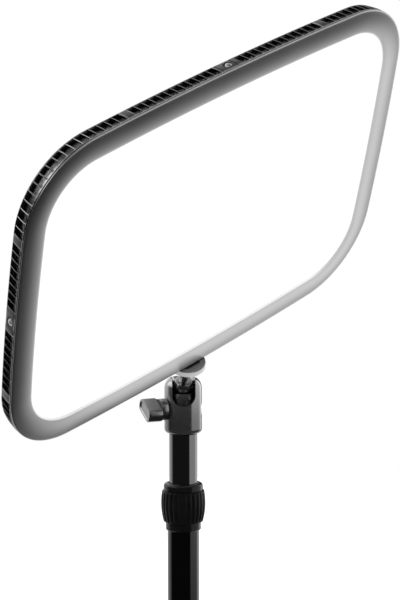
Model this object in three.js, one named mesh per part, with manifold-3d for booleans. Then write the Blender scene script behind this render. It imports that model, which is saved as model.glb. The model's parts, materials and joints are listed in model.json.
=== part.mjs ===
// Desk-clamped studio panel light: an edge-lit LED panel on a ball head and a telescopic pole.
// Millimetres, +Z up the pole. The origin is on the pole's axis, in the plane where the
// clamp's upper pad rests on the desk top. -Y is the side that the head leans towards.
import * as THREE from 'three';
import { mergeVertices } from 'three/addons/utils/BufferGeometryUtils.js';
import Module from 'manifold-3d';

const wasm = await Module();
wasm.setup();

// ---------------------------------------------------------------- driving dimensions
const DEGREE = Math.PI / 180;

// clearances
const TOUCH = 0.05;            // straight pieces that rest on each other
const FIT = 0.3;               // neighbours inside a turned group, and loose fits
const RUNNING = 0.08;          // a tube or shaft that slides or turns in its hole
const ROUND = 32;              // sides of the larger turned pieces
const SMALL_ROUND = 16;        // sides of the small turned pieces

// how the head stands
const HEAD_LEAN = 34 * DEGREE;      // stem, from upright towards -Y
const PANEL_SPIN = 35.3 * DEGREE;   // panel, about the stem
const HEAD_TURN = -7.7 * DEGREE;    // housing, about the pole

// panel light
const PANEL_WIDTH = 350;
const PANEL_HEIGHT = 250;
const PANEL_CORNER = 57.5;
const PANEL_TOP_RADIUS = 2480;      // the long sides are slightly bowed arcs
const PANEL_SIDE_RADIUS = 1810;
const BEZEL_WIDTH = 17.4;
const BEZEL_BACK = 1.7;             // depth of the bezel's flat back, from the front plane
const RIM_DEPTH = 12.7;             // depth of the vented rim's back edge
const RIM_TAPER = 2;                // the rim draws in by this much towards the back
const RIM_WALL = 1.6;
const PANEL_DEPTH = 30;             // to the rear housing's flat back
const VENT_PITCH = 6.26;
const VENT_RIB = 1.5;
const VENT_RAIL = 1.3;              // rail left in front of and behind the slots
const CHASSIS_INSET = 5.8;
const CHASSIS_WALL = 1.3;
const CHASSIS_STEP = 1.3;           // the chassis ends this far inside the rim's back edge
const SHEET_METAL = 1.2;
const DIFFUSER_THICKNESS = 1.8;
const FILM_THICKNESS = 0.3;
const GUIDE_THICKNESS = 3.2;
const DIFFUSER_INSET = 13;
const GUIDE_INSET = 20;
const STRIP_THICKNESS = 2.6;
const COVER_WALL = 1.8;
const HOUSING_HALF_WIDTH = 110;     // raised rear housing, at its foot
const HOUSING_HALF_HEIGHT = 72;
const HOUSING_CORNER = 30;
const MOUNT_DEPTH = 6.3;            // stem axis behind the front plane
const STEM_TO_PANEL = 24;           // ball centre to the panel's lower edge

// ball head
const BALL_HEIGHT = 620;            // ball centre above the desk top
const BALL_RADIUS = 7.2;
const NECK_RADIUS = 2.9;
const NECK_FLARE = 3.3;                // the neck widens by this towards the disc
const BALL_FLAT_RADIUS = 6;        // flat on top of the ball, round the neck
const STUD_RADIUS = 3.1;
const STUD_LENGTH = 11;             // into the panel
const DISC_RADIUS = 13.7;
const DISC_THICKNESS = 4.1;
const DISC_EDGE = 0.5;
const DISC_GAP = 0.4;               // disc to the panel's lower edge
const HEAD_WALL = 5.85;             // housing, outside the ball's cavity
const HEAD_TOP = 6.9;               // housing top, above the ball centre
const HEAD_DOME = 8.9;              // rounding of the housing's top
const HEAD_BOTTOM = 34;             // housing bottom, below the ball centre
const NOTCH_HALF_WIDTH = 8.3;
const NOTCH_CENTRE = -5.6;
const KNOB_DROP = 16.4;             // knob axis below the ball centre
const KNOB_ANGLE = 20 * DEGREE;     // knob axis, from the housing's -X towards its notch
const KNOB_LONG = 20.4;
const KNOB_SHORT = 9.6;
const KNOB_DEPTH = 11;
const KNOB_NECK_RADIUS = 7.3;
const KNOB_NECK_LENGTH = 5.6;
const HEAD_FOOT_ROUNDING = 3;
const NUT_RADIUS = 3.5;
const NUT_RECESS = 1.7;             // depth of the side nut's recess
const KNOB_CORNER = 4;
const KNOB_TILT = 62 * DEGREE;

// pole
const TUBE_WALL = 1;
const UPPER_TUBE_RADIUS = 10;
const UPPER_TUBE_FOOT = 62;         // its foot above the socket's floor, at rest
const COLLAR_DROP = 70.2;           // collar top below the ball centre
const COLLAR_CAP_HEIGHT = 4;
const GRIP_HEIGHT = 22.5;
const GRIP_WALL = 3.3;              // at the grip's waist, outside the thread
const GRIP_SWELL = 1.9;             // the barrel's widest ring is proud of its lower end by this
const GRIP_WAIST = 0.6;             // height of the widest ring, as a share of the grip
const GRIP_FLUTES = 26;
const GRIP_FLUTE_DEPTH = 0.5;
const RING_HEIGHT = 5.9;
const PLUG_HEIGHT = 20;

// desk clamp
const PAD_THICKNESS = 2;
const CLAMP_WIDTH = 40;
const JAW_THICKNESS = 10;
const JAW_REACH = 60;               // from the pole's axis to the jaw's tip
const SPINE_FRONT = 13;             // the desk's edge stops here, behind the pole's axis
const SPINE_THICKNESS = 11;
const MOUTH_HEIGHT = 82;            // upper pad to the lower jaw
const LOWER_JAW_REACH = 44;
const SCREW_RADIUS = 5;
const SCREW_LENGTH = 96;
const SCREW_PLACE = -26;            // screw axis along Y
const DESK_THICKNESS = 30;          // the foot stands this far below the upper pad
const FOOT_RADIUS = 17;
const FOOT_HEIGHT = 9;
const HANDLE_LENGTH = 74;
const HANDLE_RADIUS = 3;
const HANDLE_HUB_RADIUS = 9;
const HANDLE_HUB_HEIGHT = 16;
const SOCKET_HEIGHT = 42;
const SOCKET_WALL = 5;
const SOCKET_FLOOR = 6;
const SOCKET_FLANGE_RADIUS = 19;

// ---------------------------------------------------------------- materials
const BLACK_METAL = { color: 0x1c1c1e, roughness: 0.35, metalness: 0.6 };
const GLOSS_TUBE = { color: 0x161617, roughness: 0.15, metalness: 0.4 };
const BLACK_PLASTIC = { color: 0x202022, roughness: 0.6, metalness: 0 };
const DARK_PLASTIC = { color: 0x2b2b2d, roughness: 0.45, metalness: 0 };
const STEEL = { color: 0xb4b4b6, roughness: 0.3, metalness: 1 };
const ALUMINIUM = { color: 0x9c9ca0, roughness: 0.4, metalness: 1 };
const BRASS = { color: 0xb08d4a, roughness: 0.35, metalness: 1 };
const OPAL = { color: 0xf4f4f2, roughness: 0.6, metalness: 0, emissive: 0xffffff };
const CLEAR = { color: 0xe8eef2, roughness: 0.1, metalness: 0 };
const WHITE_SHEET = { color: 0xf0f0f0, roughness: 0.5, metalness: 0 };
const BOARD = { color: 0x1f4a34, roughness: 0.5, metalness: 0 };
const RUBBER = { color: 0x18181a, roughness: 0.9, metalness: 0 };

// ---------------------------------------------------------------- solids
const signedVolume = (geometry) => {
  const place = geometry.attributes.position;
  const index = geometry.index.array;
  const a = new THREE.Vector3();
  const b = new THREE.Vector3();
  const c = new THREE.Vector3();
  let total = 0;
  for (let i = 0; i < index.length; i += 3) {
    a.fromBufferAttribute(place, index[i]);
    b.fromBufferAttribute(place, index[i + 1]);
    c.fromBufferAttribute(place, index[i + 2]);
    total += a.dot(b.cross(c)) / 6;
  }
  return total;
};

// A closed mesh with shared vertices, no collapsed triangles, and its faces pointing out.
const closed = (geometry) => {
  const bare = geometry.index ? geometry.toNonIndexed() : geometry.clone();
  bare.deleteAttribute('normal');
  bare.deleteAttribute('uv');
  const merged = mergeVertices(bare, 1e-4);
  const old = merged.index.array;
  const kept = [];
  for (let i = 0; i < old.length; i += 3) {
    const [a, b, c] = [old[i], old[i + 1], old[i + 2]];
    if (a !== b && b !== c && c !== a) kept.push(a, b, c);
  }
  merged.setIndex(kept);
  if (signedVolume(merged) < 0) {
    for (let i = 0; i < kept.length; i += 3) {
      const swap = kept[i];
      kept[i] = kept[i + 1];
      kept[i + 1] = swap;
    }
    merged.setIndex(kept);
  }
  return merged;
};

const toManifold = (geometry) => new wasm.Manifold(new wasm.Mesh({
  numProp: 3,
  vertProperties: new Float32Array(geometry.attributes.position.array),
  triVerts: new Uint32Array(geometry.index.array),
}));

const fromManifold = (solid) => {
  const mesh = solid.getMesh();
  const geometry = new THREE.BufferGeometry();
  geometry.setAttribute('position', new THREE.BufferAttribute(new Float32Array(mesh.vertProperties), 3));
  geometry.setIndex(Array.from(mesh.triVerts));
  return geometry;
};

const cut = (base, ...tools) => {
  let solid = toManifold(base);
  for (const tool of tools) solid = solid.subtract(toManifold(tool));
  return fromManifold(solid);
};

const join = (base, ...others) => {
  let solid = toManifold(base);
  for (const other of others) solid = solid.add(toManifold(other));
  return fromManifold(solid);
};

const box = (low, high) => {
  const size = high.map((value, i) => value - low[i]);
  const shape = new THREE.BoxGeometry(...size);
  shape.translate(...low.map((value, i) => value + size[i] / 2));
  return closed(shape);
};

// A solid turned about Z from (radius, height) points. The outline starts and ends on the
// axis, or comes back to its first point.
const turned = (points, sides = ROUND) => {
  const profile = points.map(([radius, height]) => new THREE.Vector2(radius, height));
  const shape = new THREE.LatheGeometry(profile, sides);
  shape.rotateX(Math.PI / 2);
  return closed(shape);
};

const rod = (radius, low, high, sides = SMALL_ROUND) =>
  turned([[0, low], [radius, low], [radius, high], [0, high]], sides);

const pipe = (inner, outer, low, high, sides = ROUND) =>
  turned([[inner, low], [outer, low], [outer, high], [inner, high], [inner, low]], sides);

// Points on an arc in a (radius, height) outline, angles in degrees from the radius axis.
const arc = (radius, height, size, from, to, steps) => Array.from({ length: steps + 1 }, (_, i) => {
  const angle = (from + (to - from) * i / steps) * DEGREE;
  return [radius + size * Math.cos(angle), height + size * Math.sin(angle)];
});

// Turns a solid made along Z so that it runs along X or Y.
const alongX = (geometry) => geometry.rotateY(Math.PI / 2);
const alongY = (geometry) => geometry.rotateX(-Math.PI / 2);

const roundedRectangle = (halfWidth, halfHeight, corner) => {
  const shape = new THREE.Shape();
  shape.absarc(halfWidth - corner, halfHeight - corner, corner, 0, Math.PI / 2);
  shape.absarc(corner - halfWidth, halfHeight - corner, corner, Math.PI / 2, Math.PI);
  shape.absarc(corner - halfWidth, corner - halfHeight, corner, Math.PI, 1.5 * Math.PI);
  shape.absarc(halfWidth - corner, corner - halfHeight, corner, 1.5 * Math.PI, 2 * Math.PI);
  return shape;
};

const prism = (shape, depth, bevel = 0) => closed(new THREE.ExtrudeGeometry(shape, {
  depth: depth - 2 * bevel,
  curveSegments: 4,
  bevelEnabled: bevel > 0,
  bevelThickness: bevel,
  bevelSize: bevel,
  bevelOffset: -bevel,
  bevelSegments: 2,
}).translate(0, 0, bevel));

// ---------------------------------------------------------------- panel outline
const SIDE_STEPS = 3;
const CORNER_STEPS = 6;

// The quarter outline from the top's middle to the right side's middle: a long bowed arc,
// a corner arc and another bowed arc, each tangent to the next.
const quarterArcs = (halfWidth, halfHeight, corner, topRadius, sideRadius) => {
  const top = new THREE.Vector2(0, halfHeight - topRadius);
  const side = new THREE.Vector2(halfWidth - sideRadius, 0);
  const between = side.clone().sub(top);
  const span = between.length();
  const toTop = topRadius - corner;
  const toSide = sideRadius - corner;
  const along = (toTop ** 2 - toSide ** 2 + span ** 2) / (2 * span);
  const across = Math.sqrt(toTop ** 2 - along ** 2);
  const unit = between.clone().normalize();
  const centre = top.clone().addScaledVector(unit, along);
  centre.addScaledVector(new THREE.Vector2(unit.y, -unit.x), across);
  const topEnd = Math.atan2(centre.y - top.y, centre.x - top.x);
  const sideEnd = Math.atan2(centre.y - side.y, centre.x - side.x);
  return [
    { centre: top, radius: topRadius, from: Math.PI / 2, to: topEnd, steps: SIDE_STEPS },
    { centre, radius: corner, from: topEnd, to: sideEnd, steps: CORNER_STEPS },
    { centre: side, radius: sideRadius, from: sideEnd, to: 0, steps: SIDE_STEPS },
  ];
};

const arcPoint = ({ centre, radius }, angle) =>
  new THREE.Vector2(centre.x + radius * Math.cos(angle), centre.y + radius * Math.sin(angle));

const mirrored = (quarter) => {
  const flip = (list, x, z) => list.map((point) => new THREE.Vector2(point.x * x, point.y * z));
  return [
    ...quarter,
    ...flip(quarter, 1, -1).reverse().slice(1),
    ...flip(quarter, -1, -1).slice(1),
    ...flip(quarter, -1, 1).reverse().slice(1, -1),
  ];
};

const bowedOutline = (halfWidth, halfHeight, corner, topRadius, sideRadius) => {
  const quarter = [];
  for (const piece of quarterArcs(halfWidth, halfHeight, corner, topRadius, sideRadius)) {
    for (let i = quarter.length ? 1 : 0; i <= piece.steps; i += 1) {
      quarter.push(arcPoint(piece, piece.from + (piece.to - piece.from) * i / piece.steps));
    }
  }
  return mirrored(quarter);
};

// The panel's outline drawn in by an equal distance all round.
const panelOutline = (inset) => bowedOutline(
  PANEL_WIDTH / 2 - inset,
  PANEL_HEIGHT / 2 - inset,
  PANEL_CORNER - inset,
  PANEL_TOP_RADIUS - inset,
  PANEL_SIDE_RADIUS - inset,
);

const housingOutline = (inset) => bowedOutline(
  HOUSING_HALF_WIDTH - inset,
  HOUSING_HALF_HEIGHT - inset,
  HOUSING_CORNER - inset,
  PANEL_TOP_RADIUS,
  PANEL_SIDE_RADIUS,
);

// A solid through a list of {outline, depth} loops. It is a ring when the last loop joins
// the first, or else both ends are closed by a fan from the middle.
const loft = (loops, isRing) => {
  const count = loops[0].outline.length;
  const points = [];
  const index = [];
  for (const { outline, depth } of loops) {
    for (const point of outline) points.push(point.x, depth, point.y);
  }
  const bands = isRing ? loops.length : loops.length - 1;
  for (let band = 0; band < bands; band += 1) {
    const here = band * count;
    const next = ((band + 1) % loops.length) * count;
    for (let i = 0; i < count; i += 1) {
      const j = (i + 1) % count;
      index.push(here + i, next + i, next + j, here + i, next + j, here + j);
    }
  }
  if (!isRing) {
    const last = (loops.length - 1) * count;
    const first = points.length / 3;
    points.push(0, loops[0].depth, 0, 0, loops[loops.length - 1].depth, 0);
    for (let i = 0; i < count; i += 1) {
      const j = (i + 1) % count;
      index.push(first, i, j, first + 1, last + j, last + i);
    }
  }
  const geometry = new THREE.BufferGeometry();
  geometry.setAttribute('position', new THREE.BufferAttribute(new Float32Array(points), 3));
  geometry.setIndex(index);
  return closed(geometry);
};

// [inset, depth] pairs to loops of the panel's outline.
const panelLoops = (pairs) => pairs.map(([inset, depth]) => ({ outline: panelOutline(inset), depth }));
const panelPlate = (inset, front, back) => loft(panelLoops([[inset, front], [inset, back]]), false);
const panelRing = (pairs) => loft(panelLoops(pairs), true);

// ---------------------------------------------------------------- scene graph
const light = new THREE.Group();

const add = (group, name, geometry, look) => {
  const mesh = new THREE.Mesh(geometry, new THREE.MeshStandardMaterial(look));
  mesh.name = name;
  group.add(mesh);
  return mesh;
};

// ================================================================ desk clamp
const PAD_TOP = PAD_THICKNESS;
const JAW_UNDER = PAD_TOP + TOUCH;
const JAW_TOP = JAW_UNDER + JAW_THICKNESS;
const LOWER_JAW_TOP = -MOUTH_HEIGHT;
const LOWER_JAW_UNDER = LOWER_JAW_TOP - JAW_THICKNESS;
const SPINE_BACK = SPINE_FRONT + SPINE_THICKNESS;
const SCREW_HOLE_RADIUS = SCREW_RADIUS + FIT;
const PAD_HALF_WIDTH = CLAMP_WIDTH / 2 - 3;
const SOCKET_STUD_RADIUS = 6;

const clampFrame = () => {
  const corner = 3;
  const side = new THREE.Shape();
  side.moveTo(-JAW_REACH + corner, JAW_TOP);
  side.absarc(-JAW_REACH + corner, JAW_TOP - corner, corner, Math.PI / 2, Math.PI);
  side.lineTo(-JAW_REACH, JAW_UNDER);
  side.lineTo(SPINE_FRONT - corner, JAW_UNDER);
  side.absarc(SPINE_FRONT - corner, JAW_UNDER - corner, corner, Math.PI / 2, 0, true);
  side.lineTo(SPINE_FRONT, LOWER_JAW_TOP + corner);
  side.absarc(SPINE_FRONT - corner, LOWER_JAW_TOP + corner, corner, 0, -Math.PI / 2, true);
  side.lineTo(-LOWER_JAW_REACH, LOWER_JAW_TOP);
  side.absarc(-LOWER_JAW_REACH + corner, LOWER_JAW_UNDER + corner, corner, Math.PI, 1.5 * Math.PI);
  side.absarc(SPINE_BACK - corner, LOWER_JAW_UNDER + corner, corner, -Math.PI / 2, 0);
  side.absarc(SPINE_BACK - corner, JAW_TOP - corner, corner, 0, Math.PI / 2);
  const body = prism(side, CLAMP_WIDTH);
  body.translate(0, 0, -CLAMP_WIDTH / 2);
  body.rotateX(Math.PI / 2);
  body.rotateZ(Math.PI / 2);
  const screwHole = rod(SCREW_HOLE_RADIUS, LOWER_JAW_UNDER - 1, LOWER_JAW_TOP + 1);
  screwHole.translate(0, SCREW_PLACE, 0);
  const socketHole = rod(SOCKET_STUD_RADIUS + FIT, JAW_UNDER - 1, JAW_TOP + 1);
  return cut(closed(body), screwHole, socketHole);
};

const clampPad = () => {
  const pad = prism(roundedRectangle(PAD_HALF_WIDTH, (JAW_REACH + SPINE_FRONT) / 2 - 4, 4), PAD_THICKNESS);
  pad.translate(0, (SPINE_FRONT - JAW_REACH) / 2, 0);
  return pad;
};

const SOCKET_BASE = JAW_TOP + TOUCH;
const LOWER_TUBE_RADIUS = UPPER_TUBE_RADIUS + 2 * RUNNING + 0.04 + TUBE_WALL;
const SOCKET_BORE = LOWER_TUBE_RADIUS + 0.15;
const SOCKET_RADIUS = SOCKET_BORE + SOCKET_WALL;
const SOCKET_TOP = SOCKET_BASE + SOCKET_HEIGHT;
const LOWER_TUBE_BOTTOM = SOCKET_BASE + SOCKET_FLOOR + TOUCH;
const SET_SCREW_HEIGHT = SOCKET_TOP - 14;
const SET_SCREW_RADIUS = 3;

const poleSocket = () => {
  const body = turned([
    [0, JAW_UNDER + 2],
    [SOCKET_STUD_RADIUS, JAW_UNDER + 2],
    [SOCKET_STUD_RADIUS, SOCKET_BASE],
    [SOCKET_FLANGE_RADIUS, SOCKET_BASE],
    [SOCKET_FLANGE_RADIUS, SOCKET_BASE + 3],
    [SOCKET_RADIUS, SOCKET_BASE + SOCKET_FLOOR + 1],
    [SOCKET_RADIUS, SOCKET_TOP - 1.5],
    [SOCKET_RADIUS - 1.5, SOCKET_TOP],
    [SOCKET_BORE, SOCKET_TOP],
    [SOCKET_BORE, SOCKET_BASE + SOCKET_FLOOR],
    [0, SOCKET_BASE + SOCKET_FLOOR],
  ]);
  const screwHole = alongY(rod(SET_SCREW_RADIUS + FIT, 0, SOCKET_RADIUS + 2));
  screwHole.translate(0, 0, SET_SCREW_HEIGHT);
  return cut(body, screwHole);
};

// The thumb screw points along +Y, its tip just clear of the tube.
const socketScrew = () => {
  const tip = LOWER_TUBE_RADIUS + FIT;
  const head = SOCKET_RADIUS + 2;
  return alongY(turned([
    [0, tip],
    [SET_SCREW_RADIUS, tip],
    [SET_SCREW_RADIUS, head],
    [8, head],
    [9, head + 1],
    [9, head + 7],
    [8, head + 8],
    [0, head + 8],
  ], SMALL_ROUND)).translate(0, 0, SET_SCREW_HEIGHT);
};

const FOOT_TOP = -DESK_THICKNESS;
const FOOT_PAD_UNDER = FOOT_TOP - PAD_THICKNESS;
const FOOT_DISC_TOP = FOOT_PAD_UNDER - TOUCH;
const FOOT_UNDER = FOOT_DISC_TOP - FOOT_HEIGHT;
const SCREW_TOP = FOOT_DISC_TOP - 3;
const SCREW_BOTTOM = SCREW_TOP - SCREW_LENGTH;

// A round foot with a socket underneath, which turns on the end of the screw.
const clampFoot = () => turned([
  [0, FOOT_DISC_TOP],
  [FOOT_RADIUS, FOOT_DISC_TOP],
  [FOOT_RADIUS, FOOT_DISC_TOP - 3],
  [SCREW_RADIUS + 4, FOOT_UNDER],
  [SCREW_RADIUS + FIT, FOOT_UNDER],
  [SCREW_RADIUS + FIT, SCREW_TOP + FIT],
  [0, SCREW_TOP + FIT],
]);

const clampScrew = () => rod(SCREW_RADIUS, SCREW_BOTTOM, SCREW_TOP, SMALL_ROUND);

const HUB_TOP = SCREW_BOTTOM + HANDLE_HUB_HEIGHT / 2;
const HUB_BOTTOM = HUB_TOP - HANDLE_HUB_HEIGHT;
const HANDLE_HEIGHT = SCREW_BOTTOM - 4;

const clampHub = () => {
  const hub = turned([
    [SCREW_RADIUS + TOUCH, HUB_TOP],
    [HANDLE_HUB_RADIUS - 1, HUB_TOP],
    [HANDLE_HUB_RADIUS, HUB_TOP - 1],
    [HANDLE_HUB_RADIUS, HUB_BOTTOM + 1],
    [HANDLE_HUB_RADIUS - 1, HUB_BOTTOM],
    [0, HUB_BOTTOM],
    [0, SCREW_BOTTOM - TOUCH],
    [SCREW_RADIUS + TOUCH, SCREW_BOTTOM - TOUCH],
    [SCREW_RADIUS + TOUCH, HUB_TOP],
  ], SMALL_ROUND);
  const barHole = alongX(rod(HANDLE_RADIUS + TOUCH, -HANDLE_HUB_RADIUS - 1, HANDLE_HUB_RADIUS + 1, 16));
  barHole.translate(0, 0, HANDLE_HEIGHT);
  return cut(hub, barHole);
};

const clampBar = () => alongX(rod(HANDLE_RADIUS - TOUCH, -HANDLE_LENGTH / 2, HANDLE_LENGTH / 2, 16))
  .translate(0, 0, HANDLE_HEIGHT);

const barKnob = (side) => {
  const inner = HANDLE_LENGTH / 2 - 8;
  return alongX(turned([
    [HANDLE_RADIUS + TOUCH, inner],
    [6, inner],
    [7, inner + 4],
    [6, inner + 9],
    [0, inner + 10],
    [0, inner + 8 + TOUCH],
    [HANDLE_RADIUS + TOUCH, inner + 8 + TOUCH],
    [HANDLE_RADIUS + TOUCH, inner],
  ], SMALL_ROUND)).rotateZ(side > 0 ? 0 : Math.PI).translate(0, 0, HANDLE_HEIGHT);
};

const clamp = new THREE.Group();
light.add(clamp);
add(clamp, 'clamp_frame', clampFrame(), BLACK_METAL);
add(clamp, 'jaw_pad', clampPad(), RUBBER);
add(clamp, 'pole_socket', poleSocket(), BLACK_METAL);
add(clamp, 'socket_screw', socketScrew(), DARK_PLASTIC);

const screwGroup = new THREE.Group();
screwGroup.position.y = SCREW_PLACE;
clamp.add(screwGroup);
add(screwGroup, 'foot_pad', rod(FOOT_RADIUS, FOOT_PAD_UNDER, FOOT_TOP, ROUND), RUBBER);
add(screwGroup, 'clamp_foot', clampFoot(), BLACK_METAL);
add(screwGroup, 'clamp_screw', clampScrew(), STEEL);
add(screwGroup, 'screw_hub', clampHub(), BLACK_METAL);
add(screwGroup, 'screw_bar', clampBar(), STEEL);
add(screwGroup, 'bar_knob_left', barKnob(-1), BLACK_PLASTIC);
add(screwGroup, 'bar_knob_right', barKnob(1), BLACK_PLASTIC);

// ================================================================ telescopic pole
const COLLAR_TOP = BALL_HEIGHT - COLLAR_DROP;
const CAP_BOTTOM = COLLAR_TOP - COLLAR_CAP_HEIGHT;
const GRIP_TOP = CAP_BOTTOM - 1.4;
const GRIP_BOTTOM = GRIP_TOP - GRIP_HEIGHT;
const RING_BOTTOM = GRIP_BOTTOM - RING_HEIGHT;
const LOWER_TUBE_BORE = LOWER_TUBE_RADIUS - TUBE_WALL;
const RING_BORE = LOWER_TUBE_RADIUS + RUNNING;
const RING_RADIUS = LOWER_TUBE_RADIUS + 1.3;
const THREAD_RADIUS = RING_BORE + 1;
const GRIP_BORE = THREAD_RADIUS + FIT;
const COLLET_BOTTOM = GRIP_BOTTOM + 16;
const LOWER_TUBE_TOP = COLLET_BOTTOM - TOUCH;
const COLLET_BORE = UPPER_TUBE_RADIUS + RUNNING;

const collarRing = () => turned([
  [RING_BORE, RING_BOTTOM],
  [RING_RADIUS - 0.5, RING_BOTTOM],
  [RING_RADIUS, RING_BOTTOM + 0.5],
  [RING_RADIUS, GRIP_BOTTOM - TOUCH],
  [THREAD_RADIUS, GRIP_BOTTOM - TOUCH],
  [THREAD_RADIUS, COLLET_BOTTOM - 1],
  [RING_BORE, COLLET_BOTTOM - 1],
  [RING_BORE, RING_BOTTOM],
]);

// The collet is split along one side so that it can close on the upper tube.
const collet = () => {
  const ring = turned([
    [COLLET_BORE, COLLET_BOTTOM],
    [THREAD_RADIUS, COLLET_BOTTOM],
    [THREAD_RADIUS, GRIP_TOP - 2.5],
    [THREAD_RADIUS - 0.8, GRIP_TOP - TOUCH],
    [COLLET_BORE, GRIP_TOP - TOUCH],
    [COLLET_BORE, COLLET_BOTTOM],
  ]);
  return cut(ring, box([0, -1, COLLET_BOTTOM - 1], [THREAD_RADIUS + 1, 1, GRIP_TOP + 1]));
};

// A barrel with flutes: its radius swells in the middle, and ripples round the outside.
const collarGrip = () => {
  const widest = GRIP_BORE + GRIP_WALL;
  const sides = GRIP_FLUTES * 2;
  const levels = 4;
  const circle = (radiusAt) => Array.from({ length: sides }, (_, i) => {
    const angle = i / sides * 2 * Math.PI;
    const radius = radiusAt(i);
    return new THREE.Vector2(radius * Math.cos(angle), radius * Math.sin(angle));
  });
  const loops = [];
  for (let level = 0; level <= levels; level += 1) {
    const share = level / levels;
    const swell = widest - GRIP_SWELL * ((share - GRIP_WAIST) / GRIP_WAIST) ** 2;
    const outline = circle((i) => swell - (i % 2) * GRIP_FLUTE_DEPTH);
    loops.push({ outline, depth: -(GRIP_BOTTOM + GRIP_HEIGHT * share) });
  }
  loops.push({ outline: circle(() => GRIP_BORE), depth: -GRIP_TOP });
  loops.push({ outline: circle(() => GRIP_BORE), depth: -GRIP_BOTTOM });
  return closed(loft(loops, true).rotateX(-Math.PI / 2));
};

const collarCap = () => turned([
  [COLLET_BORE + RUNNING, GRIP_TOP + TOUCH],
  [RING_RADIUS, GRIP_TOP + TOUCH],
  [RING_RADIUS + 1.4, CAP_BOTTOM - 0.6],
  [RING_RADIUS + 1.5, CAP_BOTTOM],
  [RING_RADIUS - 0.4, COLLAR_TOP],
  [COLLET_BORE + RUNNING, COLLAR_TOP],
  [COLLET_BORE + RUNNING, GRIP_TOP + TOUCH],
]);

const UPPER_TUBE_TOP = BALL_HEIGHT - HEAD_BOTTOM - 0.2;
const UPPER_TUBE_BOTTOM = SOCKET_BASE + SOCKET_FLOOR + UPPER_TUBE_FOOT;
const UPPER_TUBE_BORE = UPPER_TUBE_RADIUS - TUBE_WALL;
const TOP_STUD_RADIUS = 4.8;
const TOP_STUD_LENGTH = 9;

const tubeGuide = () => turned([
  [UPPER_TUBE_BORE - 3, UPPER_TUBE_BOTTOM - 5],
  [LOWER_TUBE_BORE - RUNNING, UPPER_TUBE_BOTTOM - 5],
  [LOWER_TUBE_BORE - RUNNING, UPPER_TUBE_BOTTOM - TOUCH],
  [UPPER_TUBE_BORE - TOUCH, UPPER_TUBE_BOTTOM - TOUCH],
  [UPPER_TUBE_BORE - TOUCH, UPPER_TUBE_BOTTOM + PLUG_HEIGHT],
  [UPPER_TUBE_BORE - 3, UPPER_TUBE_BOTTOM + PLUG_HEIGHT],
  [UPPER_TUBE_BORE - 3, UPPER_TUBE_BOTTOM - 5],
]);

const tubeTopPlug = () => turned([
  [0, UPPER_TUBE_TOP - PLUG_HEIGHT],
  [UPPER_TUBE_BORE - TOUCH, UPPER_TUBE_TOP - PLUG_HEIGHT],
  [UPPER_TUBE_BORE - TOUCH, UPPER_TUBE_TOP],
  [TOP_STUD_RADIUS, UPPER_TUBE_TOP],
  [TOP_STUD_RADIUS, UPPER_TUBE_TOP + TOP_STUD_LENGTH],
  [0, UPPER_TUBE_TOP + TOP_STUD_LENGTH],
]);

const pole = new THREE.Group();
light.add(pole);
const lowerTube = () => pipe(LOWER_TUBE_BORE, LOWER_TUBE_RADIUS, LOWER_TUBE_BOTTOM, LOWER_TUBE_TOP);
const upperTube = () => pipe(UPPER_TUBE_BORE, UPPER_TUBE_RADIUS, UPPER_TUBE_BOTTOM, UPPER_TUBE_TOP);
add(pole, 'lower_tube', lowerTube(), GLOSS_TUBE);
add(pole, 'collar_ring', collarRing(), BLACK_PLASTIC);
add(pole, 'collar_collet', collet(), DARK_PLASTIC);
add(pole, 'collar_grip', collarGrip(), BLACK_PLASTIC);
add(pole, 'collar_cap', collarCap(), BLACK_PLASTIC);
add(pole, 'upper_tube', upperTube(), GLOSS_TUBE);
add(pole, 'tube_guide', tubeGuide(), DARK_PLASTIC);
add(pole, 'tube_top_plug', tubeTopPlug(), ALUMINIUM);

// ================================================================ ball head
const SOCKET_SPHERE = BALL_RADIUS + FIT;
const HEAD_RADIUS = SOCKET_SPHERE + HEAD_WALL;
const LIP_HEIGHT = 2.9;                    // where the cavity closes in over the ball
const CAVITY_FLOOR = -KNOB_DROP - 4.2;
const STUD_HOLE_TOP = -HEAD_BOTTOM + TOP_STUD_LENGTH + 0.8;
const KNOB_SCREW_RADIUS = 3;
const SEAT_RADIUS = SOCKET_SPHERE - FIT;
const lipAngle = Math.asin(LIP_HEIGHT / SOCKET_SPHERE) / DEGREE;

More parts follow.
